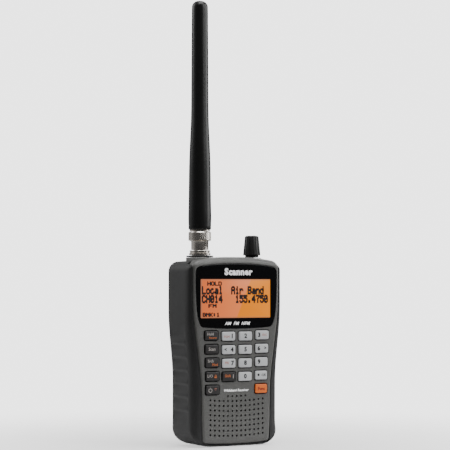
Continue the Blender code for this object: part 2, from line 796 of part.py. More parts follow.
def sockets():
    metal = ((0.55, 0.55, 0.56), 0.3, 1.0)
    block = box((PHONES_X - 3.4, TOP_Y - 3.4, 100.4), (PHONES_X + 3.4, TOP_Y + 3.4, 111.3))
    phones = finish("phones_jack", block, ((0.03, 0.03, 0.03), 0.5))
    neck = cylinder(3.0, (PHONES_X, TOP_Y, 111.0), (PHONES_X, TOP_Y, 114.3))
    boolean(phones, finish("phones_neck_guide", neck, None), "UNION")
    bore = cylinder(1.8, (PHONES_X, TOP_Y, 101.5), (PHONES_X, TOP_Y, 115.0), 12)
    boolean(phones, finish("phones_bore_guide", bore, None), "DIFFERENCE")

    shell = finish("usb_port", box((24.5, -1.9, USB_Z - 3.9), (32.7, 2.3, USB_Z + 3.9)), metal)
    mouth = box((26.0, -1.4, USB_Z - 3.4), (34.0, 1.8, USB_Z + 3.4))
    boolean(shell, finish("usb_mouth_guide", mouth, None), "DIFFERENCE")
    tongue = box((25.4, -0.3, USB_Z - 2.4), (31.8, 0.7, USB_Z + 2.4))
    boolean(shell, finish("usb_tongue_guide", tongue, None), "UNION")


# ---------------------------------------------------------------- power


def power():
    top = CELL_BOTTOM + CELL_LENGTH
    can = (
        (0.0, 0.0),
        (6.6, 0.0),
        (CELL_RADIUS, 0.4),
        (CELL_RADIUS, 48.6),
        (6.4, 49.0),
        (2.7, 49.0),
        (2.7, CELL_LENGTH),
        (0.0, CELL_LENGTH),
    )
    upright = [(radius, CELL_BOTTOM + z) for radius, z in can]
    inverted = [(radius, top - z) for radius, z in can]
    wrap = ((0.55, 0.4, 0.15), 0.3, 0.6)
    finish("battery_1", turned(upright, (-CELL_X, CELL_Y)), wrap, smooth_faces=True)
    finish("battery_2", turned(inverted, (CELL_X, CELL_Y)), wrap, smooth_faces=True)

    switch = box((-1.6, 11.0, BAY_TOP + 0.3), (1.6, 13.4, BAY_TOP + 2.3))
    finish("battery_type_switch", switch, ((0.6, 0.6, 0.6), 0.5), pivot=(0, 12.2, BAY_TOP + 1.3))

    middle = (0, (DOOR_TOP + DOOR_BOTTOM) / 2)
    outline = round_rect(2 * DOOR_HALF, DOOR_TOP - DOOR_BOTTOM, 2.0, middle)
    loops = [
        at_y(outline, DOOR_INNER_Y),
        at_y(outline, BACK_Y - 0.4),
        at_y(inset(outline, 0.4), BACK_Y),
    ]
    pivot = (0, BACK_Y, DOOR_BOTTOM)
    door = finish("battery_door", loft(loops), ((0.02, 0.02, 0.021), 0.55), pivot)
    grooves = bmesh.new()
    for step in range(4):
        z = DOOR_TOP - 6.0 - 2.2 * step
        add_box(grooves, (-6.0, BACK_Y - 0.6, z), (6.0, BACK_Y + 1.0, z + 0.9))
    boolean(door, finish("groove_guide", grooves, None), "DIFFERENCE")


# ---------------------------------------------------------------- belt clip


def clip_screw_places():
    return [(-6.5, 83.5), (6.5, 83.5)]


def belt_clip():
    black = ((0.02, 0.02, 0.02), 0.5)
    steel = ((0.6, 0.6, 0.6), 0.3, 1.0)
    plate_back = 17.6
    plate = prism_y(round_rect(22.0, 25.0, 2.0, (0, 92.2), 1), BACK_Y + GAP, plate_back)
    base = finish("clip_base", plate, black)
    ears = bmesh.new()
    ear = (
        (plate_back - 0.6, PIN_Z - 4.5),
        (PIN_Y + 1.0, PIN_Z - 2.8),
        (PIN_Y + 2.3, PIN_Z),
        (PIN_Y + 1.0, PIN_Z + 2.8),
        (plate_back - 0.6, PIN_Z + 4.5),
    )
    prism_x(ear, -EAR_OUTER, -EAR_INNER, ears)
    prism_x(ear, EAR_INNER, EAR_OUTER, ears)
    boolean(base, finish("ear_guide", ears, None), "UNION")
    holes = cylinder(PIN_RADIUS + GAP, (-14, PIN_Y, PIN_Z), (14, PIN_Y, PIN_Z), 12)
    for x, z in clip_screw_places():
        add_cylinder(holes, 1.4, (x, 14, z), (x, 20, z), 8)
    boolean(base, finish("clip_hole_guide", holes, None), "DIFFERENCE")

    pin = cylinder(PIN_RADIUS, (-10.6, PIN_Y, PIN_Z), (10.6, PIN_Y, PIN_Z), 12)
    finish("clip_pin", pin, steel, smooth_faces=True)
    inner = PIN_Y - 0.2
    outer = PIN_Y + 2.4
    leg = (
        (inner, 112.0),
        (inner, PIN_Z + 2.0),
        (PIN_Y - 2.2, PIN_Z + 1.2),
        (PIN_Y - 2.4, PIN_Z - 0.6),
        (inner, PIN_Z - 3.0),
        (inner, 56.0),
        (18.2, 51.0),
        (18.6, 49.6),
        (inner + 1.0, 47.6),
        (outer, 50.5),
        (outer, PIN_Z - 3.0),
        (PIN_Y + 2.9, PIN_Z),
        (outer, PIN_Z + 4.0),
        (outer + 0.6, 112.0),
    )
    arm = prism_x(leg, -CLIP_HALF, CLIP_HALF)
    lever = finish("belt_clip_lever", arm, black, pivot=(0, PIN_Y, PIN_Z))
    bore = cylinder(PIN_RADIUS + GAP, (-14, PIN_Y, PIN_Z), (14, PIN_Y, PIN_Z), 12)
    boolean(lever, finish("lever_bore_guide", bore, None), "DIFFERENCE")
    pocket = box((-2.8, PIN_Y - 4.0, PIN_Z - 2.9), (2.8, PIN_Y + 2.2, PIN_Z + 2.9))
    boolean(lever, finish("spring_pocket_guide", pocket, None), "DIFFERENCE")

    coil = turned(((1.4, -2.4), (2.0, -2.4), (2.0, 2.4), (1.4, 2.4)), (0, 0), 14)
    crossways = Matrix.Rotation(math.pi / 2, 3, "Y")
    bmesh.ops.rotate(coil, cent=(0, 0, 0), matrix=crossways, verts=coil.verts)
    bmesh.ops.translate(coil, vec=(0, PIN_Y, PIN_Z), verts=coil.verts)
    finish("clip_spring", coil, steel, smooth_faces=True)


def main():
    clear_scene()
    front_case()
    rear_case()
    case_screws()
    display()
    keypad()
    boards()
    speaker()
    antenna_parts()
    controls()
    sockets()
    power()
    belt_clip()


main()
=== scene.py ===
"""The looks of a handheld scanning receiver, built around its fixed frame."""

import math

import bmesh
import bpy
from mathutils import Matrix, Vector


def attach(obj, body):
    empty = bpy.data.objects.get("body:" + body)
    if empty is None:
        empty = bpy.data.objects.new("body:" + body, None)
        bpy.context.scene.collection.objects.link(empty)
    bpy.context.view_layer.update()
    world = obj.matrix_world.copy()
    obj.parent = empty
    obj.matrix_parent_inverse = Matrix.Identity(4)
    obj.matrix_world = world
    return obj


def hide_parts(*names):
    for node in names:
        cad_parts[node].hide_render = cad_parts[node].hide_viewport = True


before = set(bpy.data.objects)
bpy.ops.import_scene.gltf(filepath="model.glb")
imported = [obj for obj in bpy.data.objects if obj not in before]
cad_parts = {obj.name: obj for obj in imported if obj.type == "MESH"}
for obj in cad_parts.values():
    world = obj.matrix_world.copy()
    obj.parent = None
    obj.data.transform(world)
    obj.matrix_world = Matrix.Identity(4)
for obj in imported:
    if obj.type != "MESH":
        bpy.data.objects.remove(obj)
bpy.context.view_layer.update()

MM = 0.001

# Places in millimetres, as on the drawing: front faces -Y, up is +Z
FRONT_Y = -15.5
BACK_Y = 15.5
RIM_END_Y = -9.5
CROWN_TOP = 117.1
CROWN_DROP = 2.6
SIDE_TOP = 115.2
BASE_FLAT = 17.0
BASE_CORNER = 10.0
TOP_CORNER = 6.5
WAIST_HALF = 30.3
SHOULDER_HALF = 33.3
FACE_WAIST_HALF = 24.3
FACE_SHOULDER_HALF = 30.4
FACE_BOTTOM = 1.1
RIB_COUNT = 6
RIB_PITCH = 8.2
RIB_TOP = 69.0
RIB_DEPTH = 0.42
ANTENNA = (-17.3, 1.0)
KNOB = (20.0, 1.0)
PHONES = (1.5, 1.0)
LCD_SIZE = (49.5, 24.0)
LCD_MID_Z = 91.2
LCD_MID_X = -0.5
KEY_PITCH_X = 11.97
KEY_PITCH_Z = 8.33
KEY_TOP_ROW = 67.8
KEY_SIZE = (9.3, 5.5)
KEY_CLEARANCE = 0.55
KEY_FRONT_Y = FRONT_Y - 0.64
KEY_PRINT_Y = KEY_FRONT_Y - 0.02
KEY_ROWS = (
    ("hold", "1", "2", "3"),
    ("scan", "4", "5", "6"),
    ("search", "7", "8", "9"),
    ("lockout", "shift", "0", "dot"),
    ("power", None, None, "function"),
)
DARK_KEYS = ("hold", "scan", "search", "lockout", "shift", "power")
HOLE_RADIUS = 0.68
GRILLE_PITCH = (3.078, 3.057)
GRILLE_TOP = 27.8
CASE_SCREWS = ((-26.3, 108.6), (26.3, 108.6), (-21.0, 9.4), (21.0, 9.4))
CLIP_SCREW_X = 6.5
CLIP_SCREW_Z = 83.5
DETENT_Z = 125.2
BOSS_RADIUS = 9.7
CELL_SPREAD = 1.42


# ---------------------------------------------------------------- bench tools


def deselect():
    if bpy.context.object and bpy.context.object.mode != "OBJECT":
        bpy.ops.object.mode_set(mode="OBJECT")
    bpy.ops.object.select_all(action="DESELECT")


def pick(obj):
    deselect()
    obj.select_set(True)
    bpy.context.view_layer.objects.active = obj


def edit(obj):
    pick(obj)
    bpy.ops.object.mode_set(mode="EDIT")
    bpy.ops.mesh.select_all(action="SELECT")


def rounded(obj, angle=35):
    """Outward faces, smooth shading between edges sharper than angle."""
    edit(obj)
    bpy.ops.mesh.normals_make_consistent(inside=False)
    bpy.ops.object.mode_set(mode="OBJECT")
    bpy.ops.object.shade_smooth_by_angle(angle=math.radians(angle))
    return obj


def start_from_circle(name, points, fill):
    """A circle whose points are moved onto an outline."""
    deselect()
    bpy.ops.mesh.primitive_circle_add(vertices=len(points), radius=0.01, fill_type=fill)
    obj = bpy.context.object
    obj.name = name
    for vert, point in zip(obj.data.vertices, points):
        vert.co = Vector(point) * MM
    return obj


def drawn_out(name, rings):
    """A solid extruded from its first ring through all the others."""
    obj = start_from_circle(name, rings[0], "NGON")
    edit(obj)
    for before, after in zip(rings, rings[1:]):
        bpy.ops.mesh.extrude_region_move()
        drawing = bmesh.from_edit_mesh(obj.data)
        places = {tuple(round(c, 4) for c in point): i for i, point in enumerate(before)}
        for vert in drawing.verts:
            if vert.select:
                here = tuple(round(c / MM, 4) for c in vert.co)
                index = places.get(here)
                if index is None:
                    index = min(range(len(before)), key=lambda i: (Vector(before[i]) * MM - vert.co).length)
                vert.co = Vector(after[index]) * MM
        bmesh.update_edit_mesh(obj.data)
    return rounded(obj)


def turned(name, profile, centre, steps=64, angle=35):
    """A profile of (radius, height) points spun about an upright axis."""
    x, y = centre
    obj = start_from_circle(name, [(x + radius, y, z) for radius, z in profile], "NOTHING")
    edit(obj)
    bpy.ops.mesh.spin(
        steps=steps, angle=math.tau, center=(x * MM, y * MM, 0), axis=(0, 0, 1), use_auto_merge=True
    )
    bpy.ops.mesh.select_all(action="SELECT")
    bpy.ops.mesh.remove_doubles(threshold=0.00001)
    bpy.ops.mesh.dissolve_degenerate(threshold=0.000001)
    return rounded(obj, angle)


def block(name, low, high, bevel=0.0, segments=3):
    """A cube set to its corners, with its edges rounded in edit mode."""
    deselect()
    middle = [(a + b) / 2 * MM for a, b in zip(low, high)]
    bpy.ops.mesh.primitive_cube_add(size=1, location=middle)
    obj = bpy.context.object
    obj.name = name
    obj.scale = [(b - a) * MM for a, b in zip(low, high)]
    bpy.ops.object.transform_apply(location=True, rotation=True, scale=True)
    if bevel:
        edit(obj)
        bpy.ops.mesh.bevel(offset=bevel * MM, segments=segments, affect="EDGES")
    return rounded(obj)


def bar(name, radius, start, end, sides=24):
    """A round bar between two points."""
    deselect()
    start = Vector(start) * MM
    end = Vector(end) * MM
    along = end - start
    bpy.ops.mesh.primitive_cylinder_add(
        vertices=sides,
        radius=radius * MM,
        depth=along.length,
        location=(start + end) / 2,
        rotation=along.to_track_quat("Z", "Y").to_euler(),
    )
    obj = bpy.context.object
    obj.name = name
    bpy.ops.object.transform_apply(location=True, rotation=True, scale=True)
    return obj


def round_rings(x, z, levels, sides=32):
    """Rings about an axis along Y, one for each (radius, y)."""
    turns = [step * math.tau / sides for step in range(sides)]
    return [[(x + r * math.cos(a), y, z + r * math.sin(a)) for a in turns] for r, y in levels]


def copied(obj, name, shift):
    """A repeat of a piece, with its own mesh, moved along X."""
    pick(obj)
    bpy.ops.object.duplicate()
    copy = bpy.context.object
    copy.name = name
    copy.location.x = shift * MM
    bpy.ops.object.transform_apply(location=True, rotation=True, scale=True)
    return copy


def joined(name, pieces):
    deselect()
    for piece in pieces:
        piece.select_set(True)
    bpy.context.view_layer.objects.active = pieces[0]
    if len(pieces) > 1:
        bpy.ops.object.join()
    pieces[0].name = name
    return pieces[0]


def combined(obj, tool, operation, angle=35):
    """Cut or fuse with a tool, which is used up."""
    pick(obj)
    modifier = obj.modifiers.new("shape", "BOOLEAN")
    modifier.operation = operation
    modifier.solver = "EXACT"
    modifier.object = tool
    bpy.ops.object.modifier_apply(modifier="shape")
    bpy.data.objects.remove(tool, do_unlink=True)
    return rounded(obj, angle)


def softened(obj, width, segments=2, angle=35):
    """Round the sharp edges of a piece."""
    pick(obj)
    modifier = obj.modifiers.new("edges", "BEVEL")
    modifier.width = width * MM
    modifier.segments = segments
    modifier.limit_method = "ANGLE"
    modifier.angle_limit = math.radians(angle)
    modifier.harden_normals = False
    bpy.ops.object.modifier_apply(modifier="edges")
    return rounded(obj, angle)


def refined(name, node, width, segments=2):
    """A frame piece copied, its triangles cleaned up and its edges rounded."""
    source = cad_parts[node]
    copy = source.copy()
    copy.data = source.data.copy()
    copy.parent = None
    copy.matrix_world = Matrix.Identity(4)
    copy.name = name
    bpy.context.scene.collection.objects.link(copy)
    edit(copy)
    bpy.ops.mesh.remove_doubles(threshold=0.000005)
    bpy.ops.mesh.dissolve_limited(angle_limit=math.radians(1.0))
    bpy.ops.object.mode_set(mode="OBJECT")
    return softened(copy, width, segments)


def lettering(name, text, height, centre, y, weight=0.08, spacing=1.0, squeeze=1.0, slant=0.0):
    """Flat characters facing the front, given their own thin body."""
    deselect()
    bpy.ops.object.text_add()
    obj = bpy.context.object
    obj.data.body = text
    obj.data.align_x = "CENTER"
    obj.data.align_y = "CENTER"
    obj.data.size = height * MM * 1.38
    obj.data.space_character = spacing
    obj.data.shear = slant
    obj.data.offset = weight * MM
    obj.data.extrude = 0.03 * MM
    obj.data.resolution_u = 2
    bpy.ops.object.convert(target="MESH")
    obj = bpy.context.object
    obj.name = name
    obj.scale = (squeeze, 1, 1)
    obj.rotation_euler = (math.pi / 2, 0, 0)
    obj.location = (centre[0] * MM, y * MM, centre[1] * MM)
    bpy.ops.object.transform_apply(location=True, rotation=True, scale=True)
    return obj


def flat_mark(name, points, y, depth=0.06):
    """A thin printed shape from an outline of (x, z) points."""
    return drawn_out(name, [[(x, y, z) for x, z in points], [(x, y - depth, z) for x, z in points]])


# ---------------------------------------------------------------- finishes


def new_finish(name):
    mat = bpy.data.materials.new(name)
    mat.use_nodes = True
    tree = mat.node_tree
    shader = tree.nodes["Principled BSDF"]
    place = tree.nodes.new("ShaderNodeTexCoord")
    return mat, tree, shader, place.outputs["Object"]


def noise(tree, place, scale, detail=3.0, stretch=(1, 1, 1)):
    mapping = tree.nodes.new("ShaderNodeMapping")
    mapping.inputs["Scale"].default_value = stretch
    tree.links.new(place, mapping.inputs["Vector"])
    node = tree.nodes.new("ShaderNodeTexNoise")
    node.inputs["Scale"].default_value = scale
    node.inputs["Detail"].default_value = detail
    tree.links.new(mapping.outputs["Vector"], node.inputs["Vector"])
    return node.outputs["Fac"]


def ramp(tree, value, low, high, at=(0.35, 0.65)):
    node = tree.nodes.new("ShaderNodeValToRGB")
    node.color_ramp.elements[0].position = at[0]
    node.color_ramp.elements[0].color = (*low, 1.0)
    node.color_ramp.elements[1].position = at[1]
    node.color_ramp.elements[1].color = (*high, 1.0)
    tree.links.new(value, node.inputs["Fac"])
    return node.outputs["Color"]


def spread(tree, value, low, high):
    node = tree.nodes.new("ShaderNodeMapRange")
    node.inputs["To Min"].default_value = low
    node.inputs["To Max"].default_value = high
    tree.links.new(value, node.inputs["Value"])
    return node.outputs["Result"]


def relief(tree, shader, value, strength, distance):
    bump = tree.nodes.new("ShaderNodeBump")
    bump.inputs["Strength"].default_value = strength
    bump.inputs["Distance"].default_value = distance * MM
    tree.links.new(value, bump.inputs["Height"])
    tree.links.new(bump.outputs["Normal"], shader.inputs["Normal"])


def moulded(
    name, colour, roughness, grain, depth, vary, metallic=0.0, strength=0.35, shine=0.5
):
    """Moulded plastic or rubber: fine spark grain, slight mottling, uneven sheen."""
    mat, tree, shader, place = new_finish(name)
    wide = noise(tree, place, 60, 4)
    fine = noise(tree, place, grain, 2)
    low = [c * (1 - vary) for c in colour]
    high = [c * (1 + vary) for c in colour]
    tree.links.new(ramp(tree, fine, low, high), shader.inputs["Base Color"])
    tree.links.new(
        spread(tree, wide, roughness - 0.07, roughness + 0.07), shader.inputs["Roughness"]
    )
    shader.inputs["Metallic"].default_value = metallic
    shader.inputs["Specular IOR Level"].default_value = shine
    relief(tree, shader, fine, strength, depth)
    return mat


def plated(name, colour, roughness, stretch=(1, 1, 12)):
    """Bright plated metal with faint turning marks and handling haze."""
    mat, tree, shader, place = new_finish(name)
    marks = noise(tree, place, 700, 3, stretch)
    haze = noise(tree, place, 90, 4)
    low = [c * 0.8 for c in colour]
    tree.links.new(ramp(tree, haze, low, colour, (0.3, 0.6)), shader.inputs["Base Color"])
    tree.links.new(spread(tree, marks, roughness - 0.08, roughness + 0.1), shader.inputs["Roughness"])
    shader.inputs["Metallic"].default_value = 1.0
    relief(tree, shader, marks, 0.15, 0.01)
    return mat


def gloss_black():
    mat, tree, shader, place = new_finish("gloss_black_lens")
    haze = noise(tree, place, 45, 5)
    shader.inputs["Base Color"].default_value = (0.003, 0.003, 0.0035, 1.0)
    tree.links.new(spread(tree, haze, 0.03, 0.09), shader.inputs["Roughness"])
    shader.inputs["Specular IOR Level"].default_value = 0.35
    return mat


def amber_screen():
    """Backlit amber panel with painted light: a painted reflection in peach on the left of a slanting line,
    orange on its right, and painted shade dimming its rim.
    """
    mat, tree, shader, place = new_finish("amber_screen")
    split = tree.nodes.new("ShaderNodeSeparateXYZ")
    tree.links.new(place, split.inputs["Vector"])

    def maths(operation, first, second, third=0.0):
        node = tree.nodes.new("ShaderNodeMath")
        node.operation = operation
        for socket, value in zip(node.inputs, (first, second, third)):
            if isinstance(value, float):
                socket.default_value = value
            else:
                tree.links.new(value, socket)
        return node.outputs["Value"]

    def stepped(value, low, high):
        node = tree.nodes.new("ShaderNodeMapRange")
        node.inputs["From Min"].default_value = low
        node.inputs["From Max"].default_value = high
        tree.links.new(value, node.inputs["Value"])
        return node.outputs["Result"]

    def mixed(factor, first, second):
        node = tree.nodes.new("ShaderNodeMix")
        node.data_type = "RGBA"
        if isinstance(factor, float):
            node.inputs["Factor"].default_value = factor
        else:
            tree.links.new(factor, node.inputs["Factor"])
        for socket, value in ((node.inputs["A"], first), (node.inputs["B"], second)):
            if isinstance(value, tuple):
                socket.default_value = (*value, 1.0)
            else:
                tree.links.new(value, socket)
        return node.outputs["Result"]

    x, z = split.outputs["X"], split.outputs["Z"]
    # Painted reflection: the peach left of a slanting line stands in for a pale reflection on the screen,
    # lighter towards the middle; the orange beyond it brightens towards the right.
    left = stepped(x, -0.025, 0.012)
    peach = mixed(left, (0.76, 0.155, 0.042), (0.92, 0.25, 0.075))
    orange = mixed(stepped(x, 0.004, 0.025), (0.87, 0.235, 0.0), (0.95, 0.265, 0.0))
    slant = maths("MULTIPLY_ADD", z, -0.42, x)
    glow = mixed(stepped(slant, -0.0335, -0.0325), peach, orange)
    # Painted shade: the rim is darkened towards a dull brown, standing in for shade cast by the recess the
    # screen sits in.
    across = maths("DIVIDE", maths("ABSOLUTE", x, 0.0), LCD_SIZE[0] / 2 * MM)
    from_middle = maths("ABSOLUTE", maths("SUBTRACT", z, LCD_MID_Z * MM), 0.0)
    upward = maths("DIVIDE", from_middle, LCD_SIZE[1] / 2 * MM)
    rim = maths("MAXIMUM", stepped(across, 0.955, 1.0), stepped(upward, 0.91, 1.0))
    glow = mixed(maths("MULTIPLY", rim, 0.75), glow, (0.30, 0.16, 0.10))
    tree.links.new(mixed(0.95, glow, (0.0, 0.0, 0.0)), shader.inputs["Base Color"])
    # The emission carries the painted reflection and painted shade along with the backlight's colour.
    tree.links.new(glow, shader.inputs["Emission Color"])
    shader.inputs["Emission Strength"].default_value = 1.2
    shader.inputs["Specular IOR Level"].default_value = 0.2
    shader.inputs["Roughness"].default_value = 0.25
    cells = tree.nodes.new("ShaderNodeTexVoronoi")
    cells.inputs["Scale"].default_value = 2200
    tree.links.new(place, cells.inputs["Vector"])
    relief(tree, shader, cells.outputs["Distance"], 0.05, 0.01)
    return mat


def ink(name, colour, roughness=0.5, glow=0.0):
    """Printed or moulded-in lettering with slightly uneven cover, and a painted glow where glow is given.
    """
    mat, tree, shader, place = new_finish(name)
    cover = noise(tree, place, 1500, 2)
    low = [c * 0.85 for c in colour]
    shade = ramp(tree, cover, low, colour)
    tree.links.new(shade, shader.inputs["Base Color"])
    shader.inputs["Roughness"].default_value = roughness
    # Painted light: a glow makes the print give off light by emission, though print is no lamp.
    if glow:
        tree.links.new(shade, shader.inputs["Emission Color"])
        shader.inputs["Emission Strength"].default_value = glow
    return mat


GREY_SHELL = moulded("grey_shell", (0.118, 0.118, 0.113), 0.40, 2400, 0.03, 0.22)
BLACK_SHELL = moulded("black_shell", (0.0135, 0.0138, 0.0142), 0.52, 2200, 0.04, 0.3)
KNOB_BLACK = moulded("knob_black", (0.014, 0.014, 0.014), 0.42, 2600, 0.02, 0.2, shine=0.3)
SLEEVE_RUBBER = moulded(
    "antenna_rubber", (0.008, 0.008, 0.008), 0.34, 1800, 0.015, 0.2, strength=0.1, shine=0.4
)
KEY_PALE = moulded("key_pale", (0.60, 0.61, 0.62), 0.45, 1800, 0.015, 0.05)
KEY_DARK = moulded("key_dark", (0.022, 0.021, 0.021), 0.45, 1800, 0.015, 0.2)
KEY_ORANGE = moulded("key_orange", (0.86, 0.17, 0.02), 0.45, 1800, 0.015, 0.06)
# Painted shade: near-black on the keypad mat and on the keys' sides and flanges, so the gaps round the keys
# read as shade.
KEYPAD_PAINTED_SHADE = moulded("keypad_silicone_painted_shade", (0.01, 0.01, 0.01), 0.7, 1800, 0.02, 0.2)
GASKET = moulded("gasket_black", (0.012, 0.012, 0.012), 0.6, 1800, 0.02, 0.2)
CLOTH = moulded("dust_cloth", (0.006, 0.006, 0.006), 0.95, 5000, 0.05, 0.4)
CARD = moulded("socket_black", (0.02, 0.02, 0.02), 0.5, 1800, 0.02, 0.2)
BOARD = moulded("board_green", (0.01, 0.12, 0.05), 0.4, 900, 0.02, 0.3)
WRAP = moulded("cell_wrap", (0.42, 0.28, 0.08), 0.3, 900, 0.01, 0.1, 0.5)
GUIDE = moulded("light_guide", (0.8, 0.68, 0.5), 0.35, 900, 0.01, 0.05)
WHITE_PLASTIC = moulded("insulator_white", (0.8, 0.8, 0.78), 0.5, 900, 0.01, 0.05)
NICKEL = plated("nickel", (0.66, 0.62, 0.57), 0.24)
STEEL = plated("steel", (0.5, 0.5, 0.51), 0.34)
TIN = plated("tin", (0.62, 0.62, 0.63), 0.4)
GOLD = plated("gold", (0.8, 0.58, 0.25), 0.25)
COPPER = plated("copper", (0.7, 0.4, 0.22), 0.35)
LENS_BLACK = gloss_black()
SCREEN = amber_screen()
SCREEN_INK = ink("screen_ink", (0.012, 0.003, 0.002), 0.6)
# Painted light: the white print glows by emission.
GLOWING_WHITE_INK = ink("white_ink_painted_glow", (0.85, 0.85, 0.85), 0.4, 0.7)
GREY_INK = ink("grey_ink", (0.42, 0.39, 0.37))
BLACK_INK = ink("black_ink", (0.01, 0.01, 0.012))
AMBER_INK = ink("amber_ink", (0.62, 0.17, 0.05))
BROWN_INK = ink("brown_ink", (0.30, 0.03, 0.01))
RED_INK = ink("red_ink", (0.55, 0.22, 0.17))


def dress(obj, *finishes):
    obj.data.materials.clear()
    for mat in finishes:
        obj.data.materials.append(mat)
    return obj


def place_piece(obj, body, slot, *nodes):
    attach(obj, body)
    if nodes:
        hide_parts(*nodes)


# ---------------------------------------------------------------- outlines


def smooth(t):
    t = min(1.0, max(0.0, t))
    return t * t * (3.0 - 2.0 * t)


def side_heights():
    """Heights down one side, close together where the ribs are."""
    heights = [11.2, 13.0, 16.0]
    bottom = RIB_TOP - RIB_COUNT * RIB_PITCH
    for step in range(RIB_COUNT * 10 + 1):
        heights.append(bottom + step * RIB_PITCH / 10)
    return heights + [72.0, 75.5, 79.0, 83.0, 88.0, 94.0, 100.0, 104.0]


def rib_offset(z):
    """Each rib flares outwards as it goes down, then steps back in."""
    below_top = RIB_TOP - z
    if not 0 <= below_top <= RIB_COUNT * RIB_PITCH:
        return 0.0
    part = below_top % RIB_PITCH / RIB_PITCH
    flare = smooth(part / 0.62)
    step_back = smooth((part - 0.66) / 0.16)
    return RIB_DEPTH * (2 * flare * (1 - step_back) - 1)


def body_half(z):
    return WAIST_HALF + (SHOULDER_HALF - WAIST_HALF) * smooth((z - 40) / 44)


def face_half(z):
    rise = (FACE_SHOULDER_HALF - FACE_WAIST_HALF) * smooth((z - 30) / 62)
    return FACE_WAIST_HALF + rise - 0.02 * max(0.0, 30 - z)


def arch(x, top, half, drop):
    return top - drop * (abs(x) / half) ** 2.6


def mirrored(right):
    left = [(-x, z) for x, z in reversed(right[1:-1])]
    return right + left


CORNER_STEPS = 10
TOP_XS = (24.0, 20.5, 17.0, 13.0, 9.0, 4.5, 0.0)


def body_outline(ribs=0.0, bottom=0.0):
    half = body_half(0)
    right = [(0, bottom), (6.0, bottom), (12.0, bottom)]
    for step in range(CORNER_STEPS + 1):
        angle = step / CORNER_STEPS * math.pi / 2
        x = BASE_FLAT + (half - BASE_FLAT) * math.sin(angle)
        right.append((x, bottom + (BASE_CORNER - bottom) * (1 - math.cos(angle))))
    for z in side_heights():
        right.append((body_half(z) + ribs * rib_offset(z), z))
    mx = SHOULDER_HALF - TOP_CORNER
    mz = SIDE_TOP - 0.8 - TOP_CORNER
    for step in range(CORNER_STEPS + 1):
        angle = step / CORNER_STEPS * math.radians(80)
        right.append((mx + TOP_CORNER * math.cos(angle), mz + TOP_CORNER * math.sin(angle)))
    for x in TOP_XS:
        right.append((x, arch(x, SIDE_TOP, 28.0, 0.9)))
    return mirrored(right)


def face_outline():
    corner = 2.5
    half = face_half(corner)
    right = [(0, FACE_BOTTOM), (7.0, FACE_BOTTOM + 0.05), (14.0, FACE_BOTTOM + 0.25)]
    for step in range(CORNER_STEPS + 1):
        angle = step / CORNER_STEPS * math.pi / 2
        x = half - corner * (1 - math.sin(angle))
        right.append((x, FACE_BOTTOM + 0.8 + corner * (1 - math.cos(angle))))
    for z in side_heights():
        right.append((face_half(z), z))
    radius = 5.0
    mx = FACE_SHOULDER_HALF - radius
    mz = arch(mx, CROWN_TOP, 29.0, CROWN_DROP) - radius
    for step in range(CORNER_STEPS + 1):
        angle = step / CORNER_STEPS * math.radians(78)
        right.append((mx + radius * math.cos(angle), mz + radius * math.sin(angle)))
    for x in TOP_XS:
        right.append((x, arch(x, CROWN_TOP, 29.0, CROWN_DROP)))
    return mirrored(right)


def lens_outline():
    right = [(0, 72.6), (7.0, 72.7), (14.0, 72.95), (20.0, 73.3), (23.4, 73.65)]
    right += [(24.5, 74.0), (25.2, 74.6), (25.7, 75.5), (26.3, 77.0), (27.1, 79.5)]
    right += [(27.8, 84.0), (28.2, 89.0), (28.5, 95.0), (28.6, 101.0), (28.6, 106.4)]
    for step in range(1, 6):
        angle = step / 6 * math.radians(84)
        right.append((24.9 + 3.7 * math.cos(angle), 107.4 + 3.7 * math.sin(angle)))
    for x in (22.0, 17.0, 11.0, 5.0, 0.0):
        right.append((x, arch(x, 112.8, 25.0, 1.6)))
    return mirrored(right)


def inset(outline, distance):
    """Each corner of an outline moved inwards, square to its two edges."""
    moved = []
    count = len(outline)
    for i, point in enumerate(outline):
        here = Vector(point)
        first = (here - Vector(outline[i - 1])).normalized()
        second = (Vector(outline[(i + 1) % count]) - here).normalized()
        bisector = Vector((-first.y - second.y, first.x + second.x)).normalized()
        share = max(0.6, bisector.dot(Vector((-first.y, first.x))))
        moved.append(tuple(here + bisector * distance / share))
    return moved


def at_y(outline, y):
    return [(x, y, z) for x, z in outline]


def blend_points(first, second, share):
    return [(a + (c - a) * share, b + (d - b) * share) for (a, b), (c, d) in zip(first, second)]


def round_rect(width, height, radius, centre, steps=4):
    cx, cz = centre
    points = []
    for quarter, (sx, sz) in enumerate(((1, 1), (-1, 1), (-1, -1), (1, -1))):
        mx = cx + sx * (width / 2 - radius)
        mz = cz + sz * (height / 2 - radius)
        for step in range(steps + 1):
            angle = (quarter + step / steps) * math.pi / 2
            points.append((mx + radius * math.cos(angle), mz + radius * math.sin(angle)))
    return points


# ---------------------------------------------------------------- housing


def key_places():
    for row, names in enumerate(KEY_ROWS):
        for column, name in enumerate(names):
            if name is None:
                continue
            x = (column - 1.5) * KEY_PITCH_X * (1 - 0.015 * min(row, 3))
            z = KEY_TOP_ROW - row * KEY_PITCH_Z + 0.0018 * x * x
            yield name, x, z, KEY_SIZE[0] - (0.25 * row if column == 3 else 0.0)


def grille_places():
    for row in range(-1, 8):
        for column in range(13):
            if row < 0 and not 4 <= column <= 8:
                continue
            x = (column - 6) * GRILLE_PITCH[0]
            yield x, GRILLE_TOP - row * GRILLE_PITCH[1] + 0.0029 * x * x


